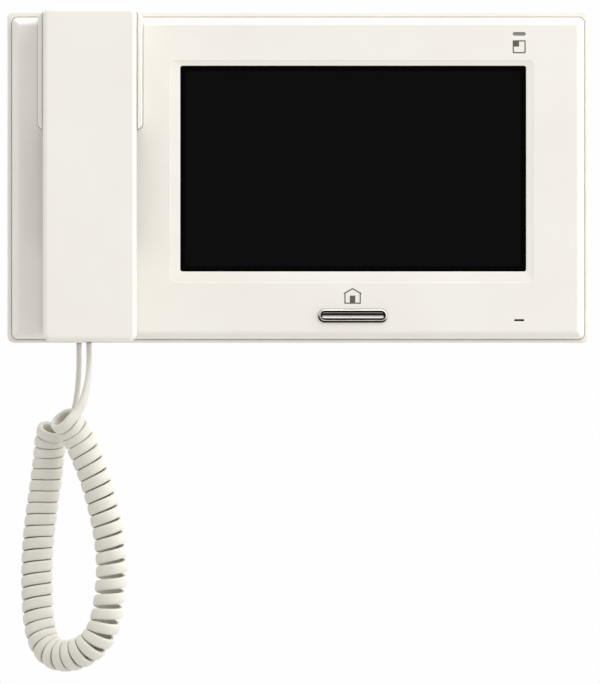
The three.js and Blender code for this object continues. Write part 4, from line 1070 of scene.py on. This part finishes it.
def make_marks(materials):
    house_z = BUTTON_Z + HOUSE_ABOVE_BUTTON
    outer, inner = ([(HOUSE_X + x, house_z + z) for x, z in shape] for shape in (HOUSE_OUTLINE, HOUSE_INSIDE))
    walls = flat_mark("house_mark", outer, inner)
    left, right, bottom, top = HOUSE_DOOR
    door = Rect(HOUSE_X + left, HOUSE_X + right, house_z + bottom, house_z + top)
    entry = flat_mark("house_mark_door", outline(door, 0.1, 2))
    square_z = LIGHT_Z - SQUARE_BELOW_LIGHT
    frame_rect = rect_around(LIGHT_X, square_z, SQUARE_SIDE, SQUARE_SIDE)
    inner_rect = grow(frame_rect, -MARK_LINE)
    square = flat_mark("status_mark", outline(frame_rect, 0.4, 3), outline(inner_rect, 0.15, 3))
    quarter = Rect(frame_rect.left + MARK_LINE, LIGHT_X - 0.05, square_z + 0.05, frame_rect.top - MARK_LINE)
    corner = flat_mark("status_mark_corner", outline(quarter, 0.1, 2))
    for mark in (walls, entry, square, corner):
        finish_piece(mark, materials["print"], "root")


def make_status_light(materials):
    back = depths_of("status_light_pipe")[0]
    rings = pill_block(LIGHT_X, LIGHT_Z, 5.4, 1.1, 18, COVER_FRONT - 0.25, 0.2)
    foot = soft_block(rect_around(LIGHT_X, LIGHT_Z, 7, 4), back, back + 2.6, 1, 0.2)
    pipe = combine(solid("status_window", [rings]), [foot], "UNION")
    smooth(pipe)
    finish_piece(pipe, materials["clear"], "root", "status_light_pipe")


# ---------------------------------------------------------------- talk button

BUTTON_RING_WIDTH = 1.5
# The ring's section from its outer foot to its inner foot, as distance in and height above the cover.
RING_SECTION = (
    (0, 0.03), (0.05, 0.26), (0.26, 0.62), (0.52, 0.98), (0.72, 1.17), (0.84, 1.24),
    (0.95, 1.26), (1.07, 1.22), (1.19, 1.04), (1.31, 0.72), (1.42, 0.35), (1.5, -0.2),
)
# The talk bar's dished face from its top to its bottom, as height from its middle and depth from its rim.
BAR_FACE = (
    (1.46, -0.55), (1.45, -0.20), (1.38, -0.04), (1.28, 0), (1.08, -0.09), (0.80, -0.27), (0.48, -0.50),
    (0.18, -0.70), (0.02, -0.74), (-0.12, -0.70), (-0.40, -0.44), (-0.72, -0.20), (-1.04, -0.05), (-1.24, 0),
    (-1.38, -0.05), (-1.45, -0.22), (-1.46, -0.55),
)


def talk_bar_shell(half_length, radius):
    """The bar as lengthwise sections whose outline shrinks round its ends."""
    middle_depth = COVER_FRONT + 0.95
    stations = [-half_length + radius * (1 - math.cos(math.pi / 2 * i / 8)) for i in range(9)]
    stations += [radius - half_length + (half_length - 2 * radius) * i / 5 for i in range(1, 10)]
    stations += [-x for x in stations[8::-1]]
    rings = []
    for x in stations:
        over = max(abs(x) - (half_length - radius), 0)
        reach = math.sqrt(max(1 - (over / radius) ** 2, 0.0036))
        rim = middle_depth - 0.12 * (1 - reach)
        face = [(BUTTON_X + x, -(rim + depth), BUTTON_Z + z * reach) for z, depth in BAR_FACE]
        low, high = BAR_FACE[-1][0] * reach, BAR_FACE[0][0] * reach
        rings.append(face + [(BUTTON_X + x, -24.7, BUTTON_Z + low), (BUTTON_X + x, -24.7, BUTTON_Z + high)])
    return rings


def make_talk_button(materials):
    """A plated ring that slopes up to a crest, and a plated bar inside it with a dished face."""
    outer = rect_of("button_bezel")
    half = (outer.top - outer.bottom) / 2
    rings = [ring(grow(outer, -0.9), half - 0.9, 25), ring(grow(outer, -0.9), half - 0.9, COVER_FRONT + 0.03)]
    rings += [ring(grow(outer, -inset), half - inset, COVER_FRONT + height) for inset, height in RING_SECTION]
    rings.append(ring(grow(outer, -BUTTON_RING_WIDTH), half - BUTTON_RING_WIDTH, 25))
    bezel = frame_solid("button_ring", rings)
    smooth(bezel, math.radians(50))
    finish_piece(bezel, materials["chrome"], "root", "button_bezel")

    cap = grow(outer, -BUTTON_RING_WIDTH - 0.12)
    cap_half = (cap.top - cap.bottom) / 2
    button = solid("talk_bar", [talk_bar_shell((cap.right - cap.left) / 2, cap_half)])
    flange = [ring(grow(cap, 0.9), cap_half + 0.9, 23.8), ring(grow(cap, 0.9), cap_half + 0.9, 24.72)]
    stem = [circle(BUTTON_X, BUTTON_Z, 1.5, 19.4), circle(BUTTON_X, BUTTON_Z, 1.5, 23.9)]
    combine(button, [flange], "UNION")
    combine(button, [stem], "UNION")
    smooth(button, math.radians(50))
    finish_piece(button, materials["chrome"], "talk_button", "talk_button")


# ---------------------------------------------------------------- cradle and hook plunger

def make_cradle(materials):
    back = COVER_FRONT - 0.6
    cradle = solid("handset_cradle", [soft_block(CRADLE, back, CRADLE_FRONT, 2.6, 0.9, 0.2)])
    lip = Rect(CRADLE.left + 3, CRADLE.right - 3, COVER.top + 0.3, CRADLE.top)
    combine(cradle, [soft_block(lip, RIM_FRONT + 0.3, COVER_FRONT + 2, 0.4, 0.3)], "UNION")
    left, right, floor, lip_radius = -114.1, -71.7, 31.5, 0.35
    section = []
    for x, side in ((left, -1), (right, 1)):
        wall = [(x + side * (lip_radius + 0.5), CRADLE_FRONT + 0.6)]
        wall.append((x + side * (lip_radius + 0.05), CRADLE_FRONT + 0.03))
        wall += [(x + side * grown, CRADLE_FRONT - down) for grown, down in round_edge(lip_radius)[1:]]
        ledge = x - side * 0.24
        wall += [(x, CRADLE_FRONT - 0.42), (ledge + side * 0.06, CRADLE_FRONT - 0.44)]
        wall.append((ledge, CRADLE_FRONT - 0.52))
        for step in range(4):
            angle = math.radians(90 * step / 3)
            wall.append((ledge - side * (1 - math.cos(angle)), floor + 1 - math.sin(angle)))
        section += wall if side < 0 else wall[::-1]
    channel = [[(x, -depth, z) for x, depth in section] for z in (0, 90)]
    combine(cradle, [channel])
    ear = [circle(HANDSET_X, EAR_CENTRE, EAR_RECESS_RADIUS, depth, 64) for depth in (20, floor - 0.5)]
    for angle in (0.4, 0.8, 1.2, 1.57):
        radius = EAR_RECESS_RADIUS + 0.5 * (1 - math.cos(angle))
        ear.append(circle(HANDSET_X, EAR_CENTRE, radius, floor - 0.5 + 0.53 * math.sin(angle), 64))
    ear.append(circle(HANDSET_X, EAR_CENTRE, 16.3, floor + 0.5, 64))
    hole = lipped_cutter(rect_around(PLUNGER_X, PLUNGER_Z, 7.8, 5.8), 1, floor, 25, 0.3, 4)
    combine(cradle, [ear, hole])
    smooth(cradle)
    finish_piece(cradle, materials["white"], "root", "ear_cradle")


def make_hook_plunger(materials):
    back, front = depths_of("hook_plunger")
    stem = soft_block(rect_around(PLUNGER_X, PLUNGER_Z, 7, 5), back, front, 1, 0.7, 0.2)
    flange = soft_block(rect_around(PLUNGER_X, PLUNGER_Z, 10, 8), back, back + 1, 1, 0.2)
    plunger = combine(solid("hook_button", [stem]), [flange], "UNION")
    smooth(plunger)
    finish_piece(plunger, materials["white"], "hook_plunger", "hook_plunger")


# ---------------------------------------------------------------- handset

HANDSET_CORNER = 3.6
HANDSET_WALL = 2
EAR_BACK, GRIP_BACK, MOUTH_BACK = 31.9, 36.5, 28.6
MOUTH_CENTRE = -49
EAR_CAP_RADIUS = 14.5
EAR_CAP_BACK = 29.4
HANDSET_SCREWS = ((0, 70), (-15, -66), (15, -66))


def eased_step(value, start, end):
    t = min(max((value - start) / (end - start), 0), 1)
    return t * t * (3 - 2 * t)


def handset_back_depth(z):
    """How far from the wall the handset's back is at a height: mouthpiece, then grip, then earpiece."""
    depth = MOUTH_BACK + (GRIP_BACK - MOUTH_BACK) * eased_step(z, -40, -24)
    return depth + (EAR_BACK - GRIP_BACK) * eased_step(z, 10, 24)


def side_outline(inset):
    """The right half of the handset's outline from the bottom up, as (distance from its middle, height)."""
    half = (HANDSET.right - HANDSET.left) / 2 - inset
    bottom, top = HANDSET.bottom + inset, HANDSET.top - inset
    radius = max(HANDSET_CORNER - inset, 0.3)
    arc = [math.radians(90 * i / CORNER_STEPS) for i in range(CORNER_STEPS + 1)]
    points = [(half - radius + radius * math.sin(a), bottom + radius - radius * math.cos(a)) for a in arc]
    low, high = HANDSET.bottom + HANDSET_CORNER, HANDSET.top - HANDSET_CORNER
    levels = [low + (high - low) * i / 60 for i in range(1, 60)]
    points += [(half, z) for z in levels]
    points += [(half - radius + radius * math.cos(a), top - radius + radius * math.sin(a)) for a in arc]
    return points


def handset_shell(name, rows):
    """A closed shell from rows of (inset, depth at a height), with faces across its first and last rows."""
    bm = bmesh.new()
    loops = []
    for inset, depth in rows:
        right = side_outline(inset)
        points = [(HANDSET_X + x, -depth(z), z) for x, z in right]
        points += [(HANDSET_X - x, -depth(z), z) for x, z in reversed(right)]
        loops.append(points)
    made = add_rows(bm, loops)
    for row in (made[0], made[-1]):
        count = len(row)
        for i in range(count // 2 - 1):
            bm.faces.new((row[i], row[i + 1], row[count - 2 - i], row[count - 1 - i]))
    return mesh_object(name, bm)


def level(depth):
    return lambda z: depth


def handset_jack_cutter(depth):
    x = PLUG_X["handset_plug"]
    place = Rect(x - 3.8, x + 3.8, depth - 4.4, depth + 4.4)
    return edge_slot(place, HANDSET.bottom, -71, 0.3, 0.6)


def make_handset_front(materials):
    rows = [(inset, level(HANDSET_FRONT - down)) for inset, down in round_edge(2.3, 7)]
    rows += [(0, level(HANDSET_SPLIT + 0.45)), (0.22, level(HANDSET_SPLIT + 0.25))]
    rows.append((0.22, level(HANDSET_SPLIT)))
    rows += [(HANDSET_WALL, level(HANDSET_SPLIT)), (HANDSET_WALL, level(HANDSET_FRONT - HANDSET_WALL - 0.8))]
    rows += [(HANDSET_WALL + 0.8, level(HANDSET_FRONT - HANDSET_WALL))]
    shell = handset_shell("handset_face", rows)
    combine(shell, [handset_jack_cutter(HANDSET_PLUG_DEPTH)])
    smooth(shell)
    finish_piece(shell, materials["handset"], "handset", "handset_front_shell")


def sound_holes(z, count, ring_radius, face, far, radius=0.9):
    holes = [round_cutter(HANDSET_X, z, radius, face, far, 0.25, 12)]
    for i in range(count):
        angle = 2 * math.pi * i / count
        x = HANDSET_X + ring_radius * math.cos(angle)
        holes.append(round_cutter(x, z + ring_radius * math.sin(angle), radius, face, far, 0.25, 12))
    return holes


def make_handset_back(materials):
    edge = 2.4
    split = HANDSET_SPLIT - 0.3

    def lowered(down):
        return lambda z: min(handset_back_depth(z) + down, split - 0.5)

    rows = [(inset, lowered(down)) for inset, down in round_edge(edge, 6)]
    rows += [(0, level(split - 0.45)), (0.22, level(split - 0.25)), (0.22, level(split))]
    rows.append((HANDSET_WALL, level(split)))
    rows.append((HANDSET_WALL, lambda z: min(handset_back_depth(z) + 2.6, split - 0.2)))
    rows += [(HANDSET_WALL + 0.8, lambda z: min(handset_back_depth(z) + 1.8, split - 0.3))]
    shell = handset_shell("handset_rear", rows)
    cap = []
    for inset, down in round_edge(1.1, 5):
        cap.append(circle(HANDSET_X, EAR_CENTRE, EAR_CAP_RADIUS - inset, EAR_CAP_BACK + down, 64))
    cap.append(circle(HANDSET_X, EAR_CENTRE, EAR_CAP_RADIUS, EAR_BACK + 1, 64))
    combine(shell, [cap], "UNION")
    hollow = [circle(HANDSET_X, EAR_CENTRE, 12.7, 31, 48), circle(HANDSET_X, EAR_CENTRE, 12.7, 34.6, 48)]
    combine(shell, [hollow])
    cuts = sound_holes(EAR_CENTRE, 6, 6, EAR_CAP_BACK, 32)
    cuts += sound_holes(MOUTH_CENTRE, 4, 3, MOUTH_BACK, 31.5)
    hollows = ((10.5, 29), (10.2, 29.45), (8.4, 29.75))
    dish = [circle(HANDSET_X, EAR_CENTRE, radius, depth, 48) for radius, depth in hollows]
    combine(shell, [dish])
    for x, z in HANDSET_SCREWS:
        back = EAR_BACK if z > 0 else MOUTH_BACK
        cuts.append(round_cutter(HANDSET_X + x, z, 2.9, back, back + 2.2, 0.3, 24))
    combine(shell, cuts)
    combine(shell, [handset_jack_cutter(HANDSET_PLUG_DEPTH)])
    smooth(shell)
    finish_piece(shell, materials["handset"], "handset", "handset_back_shell")


# ---------------------------------------------------------------- screws and small things behind openings

def screw_rings(profile, sides=28):
    """Rings of a turned screw, its head's top at height 0, from (radius, height) points."""
    turns = [2 * math.pi * i / sides for i in range(sides)]
    ways = [(math.cos(turn), math.sin(turn)) for turn in turns]
    return [[(radius * x, radius * y, height) for x, y in ways] for radius, height in profile]


# Head radius, shaft radius and length of each kind of screw.
HOUSING_SCREW = (2.8, 1.3, 13)
LOCK_SCREW = (2.8, 1.2, 9)
HANDSET_SCREW = (2.5, 1.1, 12)


def make_screw(name, size, place, head_way, turn, materials, body, node):
    """A pan-head screw with a cross recess. head_way is the direction that its head faces."""
    head, shaft, length = size
    profile = [(0.15, -length), (shaft * 0.5, -length), (shaft, -length + shaft)]
    threads = int((length - shaft - 2.6) / 0.55)
    for i in range(threads):
        low = -length + shaft + i * 0.55
        profile += [(shaft * 0.82, low + 0.14), (shaft, low + 0.4)]
    profile += [(shaft * 0.85, -1.7), (head, -1.7), (head, -1.15)]
    for step in range(1, 7):
        angle = math.pi / 2 * step / 6
        profile.append((head * (1 - 0.45 * (1 - math.cos(angle))), -1.15 + 1.15 * math.sin(angle)))
    profile += [(0.3, 0.0)]
    screw = solid(name, [screw_rings(profile)])
    arms = []
    for width, depth in ((3, 0.8), (0.8, 3)):
        rings = []
        for taper, height in ((0.55, -1.0), (1, 0.05), (1, 0.4)):
            w, d = width / 2 * (taper if width > 1 else 1), depth / 2 * (taper if depth > 1 else 1)
            rings.append([(w, -d, height), (w, d, height), (-w, d, height), (-w, -d, height)])
        arms.append(rings)
    combine(screw, arms)
    turned = Vector(head_way).to_track_quat("Z", "Y").to_matrix().to_4x4()
    screw.data.transform(Matrix.Translation([c * MM for c in place]) @ turned @ Matrix.Rotation(turn, 4, "Z"))
    smooth(screw)
    finish_piece(screw, materials["screw"], body, node)


def make_screws(materials):
    back = (0, 1, 0)
    for i, (x, z) in enumerate(CORNER_SCREWS, 1):
        names = f"corner_screw_{i}", f"housing_screw_{i}"
        make_screw(names[0], HOUSING_SCREW, (x, -0.6, z), back, 0.5 * i, materials, "root", names[1])
    lock = (0, -7, -74.2)
    make_screw("lock_screw", LOCK_SCREW, lock, (0, 0, -1), 0.4, materials, "root", "bracket_lock_screw")
    for i, (x, z) in enumerate(HANDSET_SCREWS, 1):
        face = (EAR_BACK if z > 0 else MOUTH_BACK) + 0.3
        names = f"shell_screw_{i}", f"handset_screw_{i}"
        place = (HANDSET_X + x, -face, z)
        make_screw(names[0], HANDSET_SCREW, place, back, 0.7 * i, materials, "handset", names[1])


def make_speaker_cloth(materials):
    disc = [circle(SPEAKER_X, SPEAKER_Z, 18.5, depth, 48) for depth in (25.53, 25.72)]
    cloth = solid("speaker_mesh", [disc])
    finish_piece(cloth, materials["cloth"], "root")


CAD_FINISHES = {
    "black": ("lcd_panel", "hook_switch", "talk_switch", "door_terminal_block", "power_terminal_block",
              "base_jack", "handset_jack", "earpiece_receiver"),
    "rubber": ("microphone_boot", "handset_microphone_boot", "earpiece_gasket"),
    "zinc": ("lcd_frame", "board_shield", "speaker_basket", "speaker_magnet", "microphone",
             "handset_microphone", "handset_weight"),
    "screw": ("board_screw_1", "board_screw_2", "board_screw_3", "board_screw_4"),
    "board": ("main_board", "hook_board"),
    "clear": ("status_led",),
    "paper": ("speaker_cone",),
}


def finish_cad_nodes(materials):
    for key, names in CAD_FINISHES.items():
        for name in names:
            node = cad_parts[name]
            node.data.materials.clear()
            node.data.materials.append(materials[key])


def make_floor():
    """A wide pale disc below the monitor, out of the front view."""
    bm = bmesh.new()
    rings = [[(r * math.cos(2 * math.pi * i / 96) / MM, r * math.sin(2 * math.pi * i / 96) / MM, h / MM)
              for i in range(96)] for r, h in ((3.2, -0.42), (3.2, -0.40), (3.19, -0.398), (0.2, -0.398))]
    rows = add_rows(bm, rings)
    bm.faces.new(rows[0])
    bm.faces.new(rows[-1])
    floor = mesh_object("floor", bm)
    surface = Surface("floor_paper", (0.62, 0.615, 0.60), 0.8)
    tone = surface.noise(300, detail=3)
    surface.use_colours(tone, (0.63, 0.625, 0.61), (0.60, 0.595, 0.58))
    floor.data.materials.append(surface.material)


# Name, place, width, height, power and colour of each soft light.
LIGHTS = (
    ("key", (0.62, -0.80, 0.80), 0.6, 0.6, 3.2, (1, 0.99, 0.965)),
    ("top", (0.05, -0.16, 0.95), 0.9, 0.3, 2.2, (1, 1, 1)),
    ("side", (1.0, -0.16, 0.05), 0.3, 0.9, 1.6, (1, 1, 1)),
    ("left", (-0.95, -0.22, 0.12), 0.3, 0.9, 0.55, (1, 0.99, 0.97)),
)


def make_lights():
    middle = (0, -0.03, -0.03)
    for name, place, width, height, power, colour in LIGHTS:
        make_area_light(name, place, middle, width, height, power, colour)


def main():
    bpy.context.scene.view_settings.view_transform = "Standard"
    make_camera()
    materials = make_materials()
    make_cord(materials)
    make_world()
    make_lights()
    make_floor()
    make_rear_housing(materials)
    make_wall_bracket(materials)
    make_front_cover(materials)
    make_screen(materials)
    make_marks(materials)
    make_status_light(materials)
    make_talk_button(materials)
    make_cradle(materials)
    make_hook_plunger(materials)
    make_handset_front(materials)
    make_handset_back(materials)
    make_screws(materials)
    make_speaker_cloth(materials)
    finish_cad_nodes(materials)


main()
